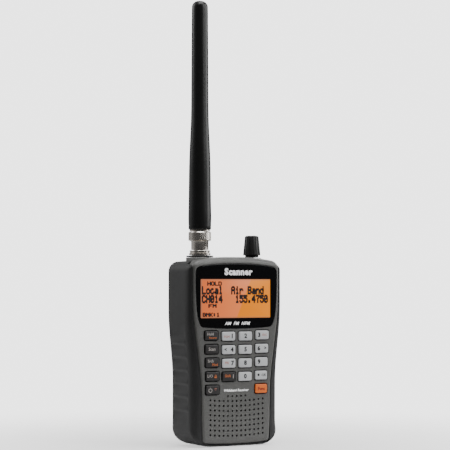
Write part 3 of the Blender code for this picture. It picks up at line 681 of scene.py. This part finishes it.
def front_shell():
    """Grey front moulding: rolled crown and foot, recess for the lens, windows and grille."""
    edge = face_outline()

    def roll(share):
        """How far the surface has rolled over, 0 at the edge and 1 on the flat."""
        angle = share * math.pi / 2
        ring = []
        deep = inset(edge, 1.0)
        for (x, z), (inner_x, inner_z) in zip(edge, deep):
            high = smooth((z - 110.5) / 6)
            low = smooth((9 - z) / 7)
            width = 1.6 + 2.1 * high + 1.2 * low
            depth = 1.6 + 2.4 * high + 0.8 * low
            reach = width * (1 - math.cos(angle))
            y = FRONT_Y + depth * (1 - math.sin(angle))
            ring.append((x + (inner_x - x) * reach, y, z + (inner_z - z) * reach))
        return ring

    rings = [
        at_y(inset(edge, 1.3), FRONT_Y + 2.3),
        at_y(inset(edge, 1.3), RIM_END_Y),
        at_y(edge, RIM_END_Y),
        at_y(edge, RIM_END_Y - 1.0),
    ]
    rings += [roll(share / 6) for share in range(7)]
    shell = drawn_out("front_shell", rings)
    deck = block("deck", (-27.6, RIM_END_Y - 3.0, 111.6), (27.6, 9.3, 113.6), 0.3)
    combined(shell, deck, "UNION")
    outline = [(ANTENNA[0] - BOSS_RADIUS, -12.3), (ANTENNA[0] + BOSS_RADIUS, -12.3)]
    for step in range(25):
        angle = step / 24 * math.pi
        x = ANTENNA[0] + BOSS_RADIUS * math.cos(angle)
        outline.append((x, BOSS_RADIUS * math.sin(angle) - 1.2))
    levels = ((0.0, 112.1), (0.0, 116.3), (0.12, 116.55), (0.4, 116.7))
    boss = drawn_out("boss", [[(x, y, z) for x, y in inset(outline, d)] for d, z in levels])
    combined(shell, boss, "UNION")

    floor_edge = at_y(inset(lens_outline(), -0.18), FRONT_Y + 1.3)
    mouth_edge = at_y(inset(lens_outline(), -0.3), FRONT_Y - 1)
    recess = drawn_out("recess", [floor_edge, mouth_edge])
    combined(shell, recess, "DIFFERENCE")
    tools = [block("window", (-26, FRONT_Y - 1, LCD_MID_Z - 13.5), (26, FRONT_Y + 4, LCD_MID_Z + 13.5))]
    for _, x, z, width in key_places():
        size = (width + 2 * KEY_CLEARANCE, KEY_SIZE[1] + 2 * KEY_CLEARANCE)
        inner = round_rect(*size, 1.3, (x, z), 3)
        outer = round_rect(size[0] + 0.5, size[1] + 0.5, 1.5, (x, z), 3)
        rings = [at_y(inner, FRONT_Y + 4), at_y(inner, FRONT_Y + 0.25), at_y(outer, FRONT_Y - 0.02)]
        tools.append(drawn_out("window", rings + [at_y(outer, FRONT_Y - 1)]))
    for x, z in grille_places():
        tools.append(bar("hole", HOLE_RADIUS, (x, FRONT_Y - 1, z), (x, FRONT_Y + 3.5, z), 12))
    for radius, (x, y) in ((5.2, ANTENNA), (3.9, KNOB), (3.4, PHONES)):
        tools.append(bar("bore", radius, (x, y, 105), (x, y, 120), 32))
    combined(shell, joined("cutters", tools), "DIFFERENCE")
    dress(shell, GREY_SHELL)
    place_piece(shell, "root", "front_shell", "front_case")


def rear_shell():
    """Black tub with its ribbed sides, open at the front."""
    plain = body_outline()
    room = 111.0
    lip = [(x, min(z, room)) for x, z in inset(face_outline(), -0.22)]
    rings = [
        at_y(inset(plain, 2.9), BACK_Y - 2.0),
        at_y(inset(plain, 2.0), BACK_Y - 5.0),
        at_y(inset(plain, 2.0), RIM_END_Y + 1.0),
        at_y(lip, RIM_END_Y + 0.3),
        at_y(lip, FRONT_Y + 0.75),
    ]
    for step in range(1, 9):
        angle = step / 8 * math.pi / 2
        out = blend_points(lip, plain, math.sin(angle))
        ring = []
        for (x, z), (plain_x, plain_z) in zip(out, plain):
            shallow = 0.35 + 0.65 * smooth((z - 1) / 14)
            rise = (1 - math.cos(angle)) * 5.6 * shallow
            top = plain_z > 108 and abs(plain_x) < 27
            reach = z if not top else plain_z - (plain_z - room) * (1 - math.sin(angle))
            ring.append((x, FRONT_Y + 0.8 + rise, reach))
        rings.append(ring)
    for share, y in ((0.0, -8.6), (0.55, -7.6), (1.0, -6.2), (1.0, 9.0), (0.5, 10.6), (0.0, 11.4)):
        rings.append(at_y(body_outline(ribs=share), y))
    for step in range(1, 7):
        angle = step / 6 * math.pi / 2
        amount = 2.9 * (1 - math.cos(angle))
        lift = 4.5 * (1 - math.cos(angle))
        rings.append(at_y(inset(body_outline(bottom=lift), amount), 11.6 + 3.9 * math.sin(angle)))
    shell = drawn_out("rear_shell", rings)

    combined(shell, block("room", (-31.2, -18, 110.6), (31.2, -9.0, 120)), "DIFFERENCE")
    combined(shell, block("deck_room", (-27.9, -13.5, 111.2), (27.9, 9.6, 120)), "DIFFERENCE")
    combined(shell, block("tub", (-18.8, -2.6, 0.9), (18.8, 14.0, 68.0)), "UNION")
    combined(shell, block("seat", (-17.2, 13.6, -2.0), (17.2, 17.5, 66.3)), "DIFFERENCE")
    combined(shell, block("bay", (-15.6, -1.2, 7.8), (15.6, 16.5, 62.0)), "DIFFERENCE")
    tools = [block("notch", (-4, 10.4, 61.0), (4, 16.5, 64.6))]
    tools.append(block("port", (28, -2.4, 83.6), (36, 2.8, 92.4), 0.8))
    for x, z in CASE_SCREWS:
        rings = round_rings(x, z, ((1.5, 10.0), (1.5, 14.2), (2.9, 14.2), (2.9, 17.5)))
        tools.append(drawn_out("screw_hole", rings))
    combined(shell, joined("cutters", tools), "DIFFERENCE")
    dress(shell, BLACK_SHELL)
    place_piece(shell, "root", "black_shell", "rear_case")


# ---------------------------------------------------------------- display


# Screen characters, five cells wide and seven high, each row a run of five marks
DOTS = {
    "0": ".###. #...# #..## #.#.# ##..# #...# .###.",
    "1": "..#.. .##.. ..#.. ..#.. ..#.. ..#.. .###.",
    "4": "...#. ..##. .#.#. #..#. ##### ...#. ...#.",
    "5": "##### #.... ####. ....# ....# #...# .###.",
    "7": "##### ....# ...#. ..#.. ..#.. ..#.. ..#..",
    ".": "..... ..... ..... ..... ..... .##.. .##..",
    ":": "..... .##.. .##.. ..... .##.. .##.. .....",
    "A": ".###. #...# #...# ##### #...# #...# #...#",
    "B": "####. #...# #...# ####. #...# #...# ####.",
    "C": ".###. #...# #.... #.... #.... #...# .###.",
    "D": "####. #...# #...# #...# #...# #...# ####.",
    "F": "##### #.... #.... ####. #.... #.... #....",
    "H": "#...# #...# #...# ##### #...# #...# #...#",
    "K": "#...# #..#. #.#.. ##... #.#.. #..#. #...#",
    "L": "#.... #.... #.... #.... #.... #.... #####",
    "M": "#...# ##.## #.#.# #.#.# #...# #...# #...#",
    "N": "#...# ##..# #.#.# #..## #...# #...# #...#",
    "O": ".###. #...# #...# #...# #...# #...# .###.",
    "a": "..... ..... .###. ....# .#### #...# .####",
    "c": "..... ..... .###. #.... #.... #...# .###.",
    "d": "....# ....# .##.# #..## #...# #...# .####",
    "i": "..#.. ..... .##.. ..#.. ..#.. ..#.. .###.",
    "l": ".##.. ..#.. ..#.. ..#.. ..#.. ..#.. .###.",
    "n": "..... ..... #.##. ##..# #...# #...# #...#",
    "o": "..... ..... .###. #...# #...# #...# .###.",
    "r": "..... ..... #.##. ##..# #.... #.... #....",
    " ": "..... ..... ..... ..... ..... ..... .....",
}


def dotted_line(text, corner, cell):
    """A grid drawn from its top left corner, of which only the dark cells are kept."""
    columns = 6 * len(text)
    deselect()
    bpy.ops.mesh.primitive_grid_add(
        x_subdivisions=columns, y_subdivisions=7, size=1, rotation=(math.pi / 2, 0, 0)
    )
    grid = bpy.context.object
    grid.scale = (columns * cell[0] * MM, 7 * cell[1] * MM, 1)
    x = corner[0] + columns * cell[0] / 2
    grid.location = (x * MM, (FRONT_Y + 0.37) * MM, (corner[1] - 3.5 * cell[1]) * MM)
    bpy.ops.object.transform_apply(location=True, rotation=True, scale=True)
    edit(grid)
    bpy.ops.mesh.select_all(action="DESELECT")
    cells = bmesh.from_edit_mesh(grid.data)
    for face in cells.faces:
        middle = face.calc_center_median() / MM
        column = int((middle.x - corner[0]) / cell[0])
        row = int((corner[1] - middle.z) / cell[1])
        rows = DOTS[text[column // 6]].split()
        if column % 6 == 5 or rows[row][column % 6] == ".":
            face.select_set(True)
    bmesh.update_edit_mesh(grid.data)
    bpy.ops.mesh.delete(type="FACE")
    bpy.ops.mesh.select_all(action="SELECT")
    bpy.ops.mesh.inset(thickness=0.02 * MM, use_individual=True)
    bpy.ops.mesh.select_all(action="INVERT")
    bpy.ops.mesh.delete(type="FACE")
    cells = bmesh.from_edit_mesh(grid.data)
    for face in cells.faces:
        middle = face.calc_center_median()
        for vert in face.verts:
            vert.co = middle + (vert.co - middle) * CELL_SPREAD
    bmesh.update_edit_mesh(grid.data)
    bpy.ops.object.mode_set(mode="OBJECT")
    modifier = grid.modifiers.new("thickness", "SOLIDIFY")
    modifier.thickness = 0.04 * MM
    modifier.offset = 0
    bpy.ops.object.modifier_apply(modifier="thickness")
    return grid


def display():
    outline = lens_outline()
    lens = drawn_out(
        "display_window",
        [
            at_y(outline, FRONT_Y + 1.0),
            at_y(outline, FRONT_Y + 0.3),
            at_y(inset(outline, 0.12), FRONT_Y + 0.14),
            at_y(inset(outline, 0.3), FRONT_Y + 0.1),
        ],
    )
    hole = round_rect(*LCD_SIZE, 0.4, (LCD_MID_X, LCD_MID_Z))
    combined(lens, drawn_out("hole", [at_y(hole, FRONT_Y + 3), at_y(hole, FRONT_Y - 3)]), "DIFFERENCE")
    dress(lens, LENS_BLACK)
    place_piece(lens, "root", "lens_black", "display_lens")

    panel = round_rect(LCD_SIZE[0] - 0.1, LCD_SIZE[1] - 0.1, 0.35, (LCD_MID_X, LCD_MID_Z))
    back = round_rect(53.6, 27.6, 0.4, (0, LCD_MID_Z))
    rings = [at_y(back, -11.4), at_y(back, -12.8), at_y(panel, -12.9)]
    rings += [at_y(panel, FRONT_Y + 0.45), at_y(inset(panel, 0.1), FRONT_Y + 0.4)]
    screen = drawn_out("amber_panel", rings)
    dress(screen, SCREEN)
    place_piece(screen, "root", "lcd_amber", "lcd_glass")

    lines = (
        ("HOLD", (-20.4, 101.6), (0.43, 0.34)),
        ("Local  Air Band ", (-24.1, 98.6), (0.488, 0.66)),
        ("CH014   155.4750", (-24.1, 93.2), (0.488, 0.66)),
        ("FM", (-19.6, 87.7), (0.49, 0.30)),
        ("BNK:1", (-23.6, 82.4), (0.40, 0.34)),
    )
    characters = joined("screen_characters", [dotted_line(*line) for line in lines])
    dress(characters, SCREEN_INK)
    place_piece(characters, "root", "lcd_amber")

    y = FRONT_Y + 0.07
    words = (
        ("lens_title", "Scanner", 4.0, (1.2, 107.6), 0.26, 1.1, 1.0, 0.0),
        ("lens_modes", "AM  FM  NFM", 1.9, (0.4, 75.7), 0.07, 1.1, 1.05, 0.3),
    )
    for name, text, height, centre, weight, spacing, squeeze, slant in words:
        word = lettering(name, text, height, centre, y, weight, spacing, squeeze, slant)
        place_piece(dress(word, GLOWING_WHITE_INK), "root", "lens_black")
    caption = "Wideband Receiver"
    caption = lettering("face_caption", caption, 1.5, (-0.6, 34.4), FRONT_Y, 0.07, 1.0, 1.05, 0.35)
    place_piece(dress(caption, GLOWING_WHITE_INK), "root", "front_shell")


# ---------------------------------------------------------------- keys


# Text, height, sideways and upward shift, stroke weight and ink of each legend
KEY_MARKS = {
    "1": (("1", 2.7, 2.4, 0.0, 0.16, BLACK_INK), ("PGM", 1.4, -1.4, -0.3, 0.03, RED_INK)),
    "2": (("2", 2.7, 0.0, 0.0, 0.16, BLACK_INK),),
    "3": (("3", 2.7, -2.3, 0.0, 0.16, BLACK_INK), ("SVC", 1.4, 1.6, 0.0, 0.03, RED_INK)),
    "4": (("<", 2.2, -2.3, 0.1, 0.1, BLACK_INK), ("4", 2.7, 2.3, 0.0, 0.16, BLACK_INK)),
    "5": (("5", 2.7, 0.0, 0.0, 0.16, BLACK_INK),),
    "6": (("6", 2.7, -2.3, 0.0, 0.16, BLACK_INK), (">", 2.2, 2.3, 0.1, 0.1, BLACK_INK)),
    "7": (("7", 2.7, 2.4, 0.0, 0.16, BLACK_INK), ("PRI", 1.5, -1.5, 0.2, 0.03, RED_INK)),
    "8": (("8", 2.7, 0.0, 0.0, 0.16, BLACK_INK),),
    "9": (("9", 2.7, -1.9, 0.0, 0.16, BLACK_INK),),
    "0": (("0", 2.7, 0.0, 0.0, 0.16, BLACK_INK),),
    "dot": (("\u2022", 4.2, -2.0, 0.0, 0.1, BLACK_INK), ("C/E", 1.5, 1.7, 0.0, 0.05, BLACK_INK)),
    "hold": (("Hold", 1.7, -0.9, 0.9, 0.06, GREY_INK), ("Resume", 1.2, 0.8, -1.3, 0.03, AMBER_INK)),
    "scan": (("Scan", 2.0, 0.0, 0.0, 0.07, GREY_INK),),
    "search": (("Srch", 1.7, -1.2, 1.0, 0.06, GREY_INK), ("Mod", 1.6, 1.7, -1.2, 0.04, AMBER_INK)),
    "lockout": (("L/O", 1.8, -1.9, 0.2, 0.05, GREY_INK),),
    "shift": (("Shift", 1.7, -0.9, 0.5, 0.05, AMBER_INK), ("I", 2.4, 2.9, 0.1, 0.1, GREY_INK)),
    "power": (("I", 1.2, -1.7, 0.9, 0.05, GREY_INK), ("*", 2.8, 1.9, -0.4, 0.08, RED_INK)),
    "function": (("Func", 1.9, 0.0, -0.1, 0.1, BROWN_INK),),
}


def ring_mark(radius, width, centre, gap=0.0):
    """A printed ring, open at the top by the given half angle."""
    x, z = centre
    start = math.pi / 2 + gap
    sweep = math.tau - 2 * gap
    angles = [start + sweep * step / 24 for step in range(25 if gap else 24)]
    outer = [(x + radius * math.cos(a), z + radius * math.sin(a)) for a in angles]
    inner = [(x + (radius - width) * math.cos(a), z + (radius - width) * math.sin(a)) for a in angles]
    if gap:
        return flat_mark("ring", outer + inner[::-1], KEY_FRONT_Y + 0.02)
    ring = flat_mark("ring", outer, KEY_FRONT_Y + 0.02)
    return combined(ring, flat_mark("ring_hole", inner, KEY_FRONT_Y + 0.5, 1.0), "DIFFERENCE")


def key_icons(name, x, z):
    """The small printed signs on two of the dark keys."""
    if name == "power":
        return [dress(ring_mark(1.35, 0.42, (x - 1.7, z - 0.2), 0.5), GREY_INK)]
    if name == "lockout":
        shackle = ring_mark(0.62, 0.26, (x + 1.9, z + 0.35))
        body = flat_mark("lock", round_rect(1.7, 1.3, 0.25, (x + 1.9, z - 0.4), 2), KEY_FRONT_Y + 0.02)
        return [dress(shackle, AMBER_INK), dress(body, AMBER_INK)]
    return []


def keys():
    """Each cap is one piece with its legend, round-edged, on a flange; the flange and the sides behind the
    front are painted dark as shade in the window gap.
    """
    for name, x, z, width in key_places():
        height = KEY_SIZE[1]
        body = round_rect(width, height, 1.0, (x, z), 5)
        flange = round_rect(width + 1.9, height + 1.9, 1.0, (x, z), 5)
        rings = [at_y(flange, -12.1), at_y(flange, -12.9), at_y(body, -12.9), at_y(body, FRONT_Y + 0.35)]
        for step in range(5):
            angle = step / 4 * math.pi / 2
            shrunk = inset(body, 0.5 * (1 - math.cos(angle)))
            rings.append(at_y(shrunk, KEY_FRONT_Y + 0.4 * (1 - math.sin(angle))))
        cap = drawn_out(f"key_cap_{name}", rings)
        finish, slot = KEY_PALE, "key_light"
        if name in DARK_KEYS:
            finish, slot = KEY_DARK, "key_dark"
        if name == "function":
            finish, slot = KEY_ORANGE, "key_orange"
        dress(cap, finish, KEYPAD_PAINTED_SHADE)
        # The faces behind the front, the sides and flange, take the painted shade.
        for face in cap.data.polygons:
            if face.center.y > (FRONT_Y + 0.3) * MM:
                face.material_index = 1
        pieces = [cap]
        for text, size, across, up, weight, colour in KEY_MARKS[name]:
            place = (x + across, z + up)
            mark = lettering("mark", text, size, place, KEY_PRINT_Y, weight)
            pieces.append(dress(mark, colour))
        cap = joined(f"key_cap_{name}", pieces + key_icons(name, x, z))
        place_piece(cap, f"key_{name}", slot, f"key_{name}")


# ---------------------------------------------------------------- aerial and controls


def ridged(name, profile, centre, count, low, high, radius, depth, taper=0.0):
    """A turned piece with straight flutes cut between two heights."""
    piece = turned(name, profile, centre, 96)
    tools = []
    for step in range(count):
        angle = math.tau * step / count
        reach = radius + depth
        foot = (centre[0] + reach * math.cos(angle), centre[1] + reach * math.sin(angle), low)
        reach -= taper
        head = (centre[0] + reach * math.cos(angle), centre[1] + reach * math.sin(angle), high)
        tools.append(bar("flute", depth * 1.6, foot, head, 10))
    return combined(piece, joined("flutes", tools), "DIFFERENCE", 30)


def aerial():
    sleeve = [(3.3, 134.2), (6.6, 134.2), (6.95, 134.35), (7.1, 134.8), (7.1, 136.8), (7.15, 138.0)]
    sleeve += [(7.25, 141.0), (7.2, 145.0), (7.08, 150.0), (6.98, 158.0), (6.9, 166.0), (6.8, 173.0)]
    sleeve += [(6.6, 180.0), (6.3, 187.5), (5.95, 195.0), (5.65, 202.0), (5.5, 210.0), (5.42, 224.0)]
    sleeve += [(5.35, 240.0), (5.25, 256.0), (5.15, 270.0), (5.1, 274.0)]
    for step in range(1, 9):
        angle = step / 8 * math.pi / 2
        sleeve.append((1.2 + 3.9 * math.cos(angle), 274.0 + 3.9 * math.sin(angle)))
    sleeve += [(0.0, 278.0), (0.0, 268.0), (1.5, 268.0), (1.5, 144.6), (3.3, 144.6)]
    rubber = turned("antenna_rubber", sleeve, ANTENNA, 64, 50)
    dress(rubber, SLEEVE_RUBBER)
    place_piece(rubber, "antenna", "antenna_rubber", "antenna_sleeve")

    collar = [(5.45, 121.6), (5.45, 126.6), (5.6, 126.9), (6.7, 127.25), (7.1, 127.5)]
    collar += [(7.1, 132.3), (6.75, 132.8), (4.8, 132.8), (4.8, 126.4), (5.2, 126.4)]
    collar += [(5.2, 124.0), (4.8, 124.0), (4.8, 121.5), (5.3, 121.5)]
    nut = ridged("bayonet_collar", collar, ANTENNA, 36, 127.9, 132.0, 7.1, 0.22)
    x, y = ANTENNA
    detent = bar("detent", 1.0, (x, y - 8, DETENT_Z), (x, y + 8, DETENT_Z), 28)
    combined(nut, detent, "DIFFERENCE", 30)
    dress(nut, NICKEL)
    place_piece(nut, "collar", "nickel", "coupling_collar")

    plug = [(3.0, 122.0), (3.6, 122.0), (3.6, 129.2), (4.4, 129.2), (4.4, 133.1), (6.1, 133.1)]
    plug += [(6.4, 133.3), (6.4, 133.9), (6.2, 134.1), (3.0, 134.1), (3.0, 144.0), (0.9, 144.0)]
    plug += [(0.9, 131.0), (3.0, 131.0)]
    ferrule = turned("antenna_ferrule", plug, ANTENNA, 64)
    dress(ferrule, NICKEL)
    place_piece(ferrule, "antenna", "nickel", "antenna_plug")

    jack = [(2.9, 111.0), (2.9, 107.2), (4.8, 107.2), (4.8, 118.2), (6.5, 118.2), (6.75, 118.45)]
    jack += [(6.75, 119.3), (6.2, 119.7), (6.2, 120.4), (6.5, 120.8), (6.3, 121.15), (4.5, 121.2)]
    jack += [(4.5, 128.2), (4.3, 128.4), (3.9, 128.4), (3.9, 121.4), (2.9, 121.4)]
    socket = turned("bayonet_socket", jack, ANTENNA, 64)
    lugs = []
    for low, high in ((-5.1, -4.2), (4.2, 5.1)):
        lugs.append(bar("lug", 0.75, (x, y + low, DETENT_Z), (x, y + high, DETENT_Z), 16))
    combined(socket, joined("lugs", lugs), "UNION")
    dress(socket, NICKEL)
    place_piece(socket, "root", "nickel", "bnc_jack")

    plate = [(5.2, 117.9), (5.2, 117.0), (8.3, 117.0), (8.5, 117.15), (8.5, 117.65), (8.25, 117.9)]
    gasket = turned("socket_plate", plate, ANTENNA, 64)
    dress(gasket, GASKET)
    place_piece(gasket, "root", "gasket_black", "antenna_gasket")


def knobs():
    profile = [(1.6, 117.0), (4.1, 117.0), (4.25, 117.15), (4.25, 118.2), (4.5, 118.4)]
    profile += [(5.3, 118.4), (5.55, 118.65), (4.42, 130.0), (4.1, 130.5), (3.4, 130.85)]
    profile += [(2.0, 130.95), (0.0, 130.95), (0.0, 126.4), (1.6, 126.4)]
    knob = ridged("volume_cap", profile, KNOB, 16, 118.6, 130.2, 5.45, 0.3, 1.05)
    x, y = KNOB
    pointer = block("pointer", (x - 0.3, y - 3.6, 130.8), (x + 0.3, y - 1.2, 130.99), 0.05, 1)
    dress(knob, KNOB_BLACK)
    dress(pointer, GLOWING_WHITE_INK)
    knob = joined("volume_cap", [knob, pointer])
    place_piece(knob, "volume_control", "knob_black", "volume_knob")

    profile = [(1.6, 114.0), (6.0, 114.0), (6.2, 114.2), (6.2, 116.2), (6.0, 116.55)]
    profile += [(5.7, 116.7), (1.6, 116.7)]
    ring = ridged("squelch_cap", profile, KNOB, 24, 114.4, 117.2, 6.15, 0.25)
    dress(ring, KNOB_BLACK)
    place_piece(ring, "squelch_control", "knob_black", "squelch_ring")


# ---------------------------------------------------------------- back


def back_fittings():
    door = refined("door_panel", "battery_door", 0.25)
    dress(door, BLACK_SHELL)
    place_piece(door, "door", "black_shell", "battery_door")
    base = refined("clip_bracket", "clip_base", 0.2)
    dress(base, KNOB_BLACK)
    place_piece(base, "root", "knob_black", "clip_base")
    lever = refined("clip_arm", "belt_clip_lever", 0.35, 3)
    dress(lever, KNOB_BLACK)
    place_piece(lever, "clip", "knob_black", "belt_clip_lever")

    x, z = -CLIP_SCREW_X, CLIP_SCREW_Z
    levels = ((0.9, 12.5), (0.9, 17.85), (2.0, 17.85), (2.0, 18.5), (1.7, 18.9))
    left = drawn_out("clip_screw_left", round_rings(x, z, levels))
    for wide, high in ((1.1, 0.2), (0.2, 1.1)):
        slot = block("slot", (x - wide, 18.4, z - high), (x + wide, 19.2, z + high))
        combined(left, slot, "DIFFERENCE")
    dress(left, STEEL)
    right = copied(left, "clip_screw_right", 2 * CLIP_SCREW_X)
    place_piece(left, "root", "screw_steel")
    place_piece(right, "root", "screw_steel")

    contacts = []
    for x, z in ((-7.5, 61.2), (7.5, 61.2)):
        contacts.append(block("contact", (x - 5, 0.2, z - 0.1), (x + 5, 12.2, z + 0.4), 0.1, 1))
    contacts.append(block("contact", (-14.4, 0.2, 8.1), (14.4, 12.2, 8.6), 0.1, 1))
    plates = joined("battery_contacts", contacts)
    dress(plates, TIN)
    place_piece(plates, "root", "tin")


def carried_over():
    """The frame's own pieces that keep their shape, each with its finish."""
    # The keypad mat takes the painted shade that shows through the gaps round the keys.
    finishes = {
        "backlight_panel": GUIDE, "lcd_frame": CARD, "keypad_mat": KEYPAD_PAINTED_SHADE, "front_board": BOARD,
        "main_board": BOARD, "rf_shield": TIN, "speaker_frame": TIN, "speaker_cone": CLOTH,
        "speaker_magnet": STEEL, "speaker_cloth": CLOTH, "jack_insulator": WHITE_PLASTIC, "bnc_nut": NICKEL,
        "control_pot": TIN, "phones_jack": CARD, "usb_port": TIN, "battery_1": WRAP, "battery_2": WRAP,
        "clip_pin": STEEL, "clip_spring": STEEL, "volume_shaft": TIN, "squelch_shaft": TIN,
        "antenna_pin": GOLD, "antenna_core": COPPER, "battery_type_switch": WHITE_PLASTIC,
        "case_screw_1": STEEL, "case_screw_2": STEEL, "case_screw_3": STEEL, "case_screw_4": STEEL,
    }
    for node, mat in finishes.items():
        dress(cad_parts[node], mat)


# ---------------------------------------------------------------- studio


def studio():
    """A pale floor that fades into a white room, soft lamps and the camera."""
    deselect()
    bpy.ops.mesh.primitive_plane_add(size=4, location=(0, 0, -0.0004))
    floor = bpy.context.object
    floor.name = "floor"
    bpy.ops.object.transform_apply(location=True, rotation=True, scale=True)
    mat, tree, shader, place = new_finish("pale_floor")
    shader.inputs["Base Color"].default_value = (0.9, 0.9, 0.9, 1.0)
    shader.inputs["Roughness"].default_value = 0.7
    reach = tree.nodes.new("ShaderNodeVectorMath")
    reach.operation = "LENGTH"
    tree.links.new(place, reach.inputs[0])
    fade = tree.nodes.new("ShaderNodeMapRange")
    fade.interpolation_type = "SMOOTHSTEP"
    fade.inputs["From Min"].default_value = 0.03
    fade.inputs["From Max"].default_value = 0.34
    fade.inputs["To Min"].default_value = 0.75
    fade.inputs["To Max"].default_value = 0.0
    tree.links.new(reach.outputs["Value"], fade.inputs["Value"])
    tree.links.new(fade.outputs["Result"], shader.inputs["Alpha"])
    dress(floor, mat)

    world = bpy.data.worlds.new("studio")
    bpy.context.scene.world = world
    world.use_nodes = True
    tree = world.node_tree
    fill = tree.nodes["Background"]
    fill.inputs["Color"].default_value = (1.0, 1.0, 1.0, 1.0)
    towards = tree.nodes.new("ShaderNodeTexCoord")
    split = tree.nodes.new("ShaderNodeSeparateXYZ")
    tree.links.new(towards.outputs["Generated"], split.inputs["Vector"])
    sweep = tree.nodes.new("ShaderNodeMapRange")
    sweep.interpolation_type = "SMOOTHSTEP"
    sweep.inputs["From Min"].default_value = -0.3
    sweep.inputs["From Max"].default_value = 0.8
    sweep.inputs["To Min"].default_value = 0.09
    sweep.inputs["To Max"].default_value = 0.5
    tree.links.new(split.outputs["Y"], sweep.inputs["Value"])
    tree.links.new(sweep.outputs["Result"], fill.inputs["Strength"])
    room = tree.nodes.new("ShaderNodeBackground")
    room.inputs["Strength"].default_value = 3.2
    room.inputs["Color"].default_value = (1.0, 1.0, 1.0, 1.0)
    path = tree.nodes.new("ShaderNodeLightPath")
    mix = tree.nodes.new("ShaderNodeMixShader")
    tree.links.new(path.outputs["Is Camera Ray"], mix.inputs[0])
    tree.links.new(fill.outputs["Background"], mix.inputs[1])
    tree.links.new(room.outputs["Background"], mix.inputs[2])
    tree.links.new(mix.outputs["Shader"], tree.nodes["World Output"].inputs["Surface"])

    def lamp(name, azimuth, elevation, distance, size, power):
        """A softbox that faces the radio; azimuth 0 is in front and 90 to its right."""
        turn = math.radians(azimuth)
        rise = math.radians(elevation)
        level = distance * math.cos(rise)
        aim = Vector((0, 0, 0.12))
        place = aim + Vector((level * math.sin(turn), -level * math.cos(turn), distance * math.sin(rise)))
        light = bpy.data.lights.new(name, "AREA")
        light.shape = "RECTANGLE"
        light.size = size[0]
        light.size_y = size[1]
        light.energy = power
        obj = bpy.data.objects.new(name, light)
        obj.location = place
        obj.rotation_euler = (aim - place).to_track_quat("-Z", "Y").to_euler()
        bpy.context.scene.collection.objects.link(obj)

    lamp("key_softbox", 33, 34, 1.1, (0.36, 0.8), 4.8)
    lamp("side_softbox", 72, 22, 1.1, (0.6, 0.9), 7)
    lamp("top_softbox", 0, 78, 1.1, (0.9, 0.5), 10.5)
    lamp("left_softbox", -132, 32, 1.2, (0.45, 0.8), 4.2)
    lamp("right_softbox", 140, 30, 1.3, (0.5, 0.9), 5)

    camera = bpy.data.cameras.new("camera")
    camera.lens = 135.2
    camera.sensor_width = 36.0
    camera.clip_start = 0.05
    camera.clip_end = 50
    view = bpy.data.objects.new("camera", camera)
    view.location = (-0.5086, -0.9346, 0.0989)
    view.rotation_euler = (math.radians(92.07), 0, math.radians(-28.56))
    bpy.context.scene.collection.objects.link(view)
    bpy.context.scene.camera = view


front_shell()
rear_shell()
display()
keys()
aerial()
knobs()
back_fittings()
carried_over()
studio()
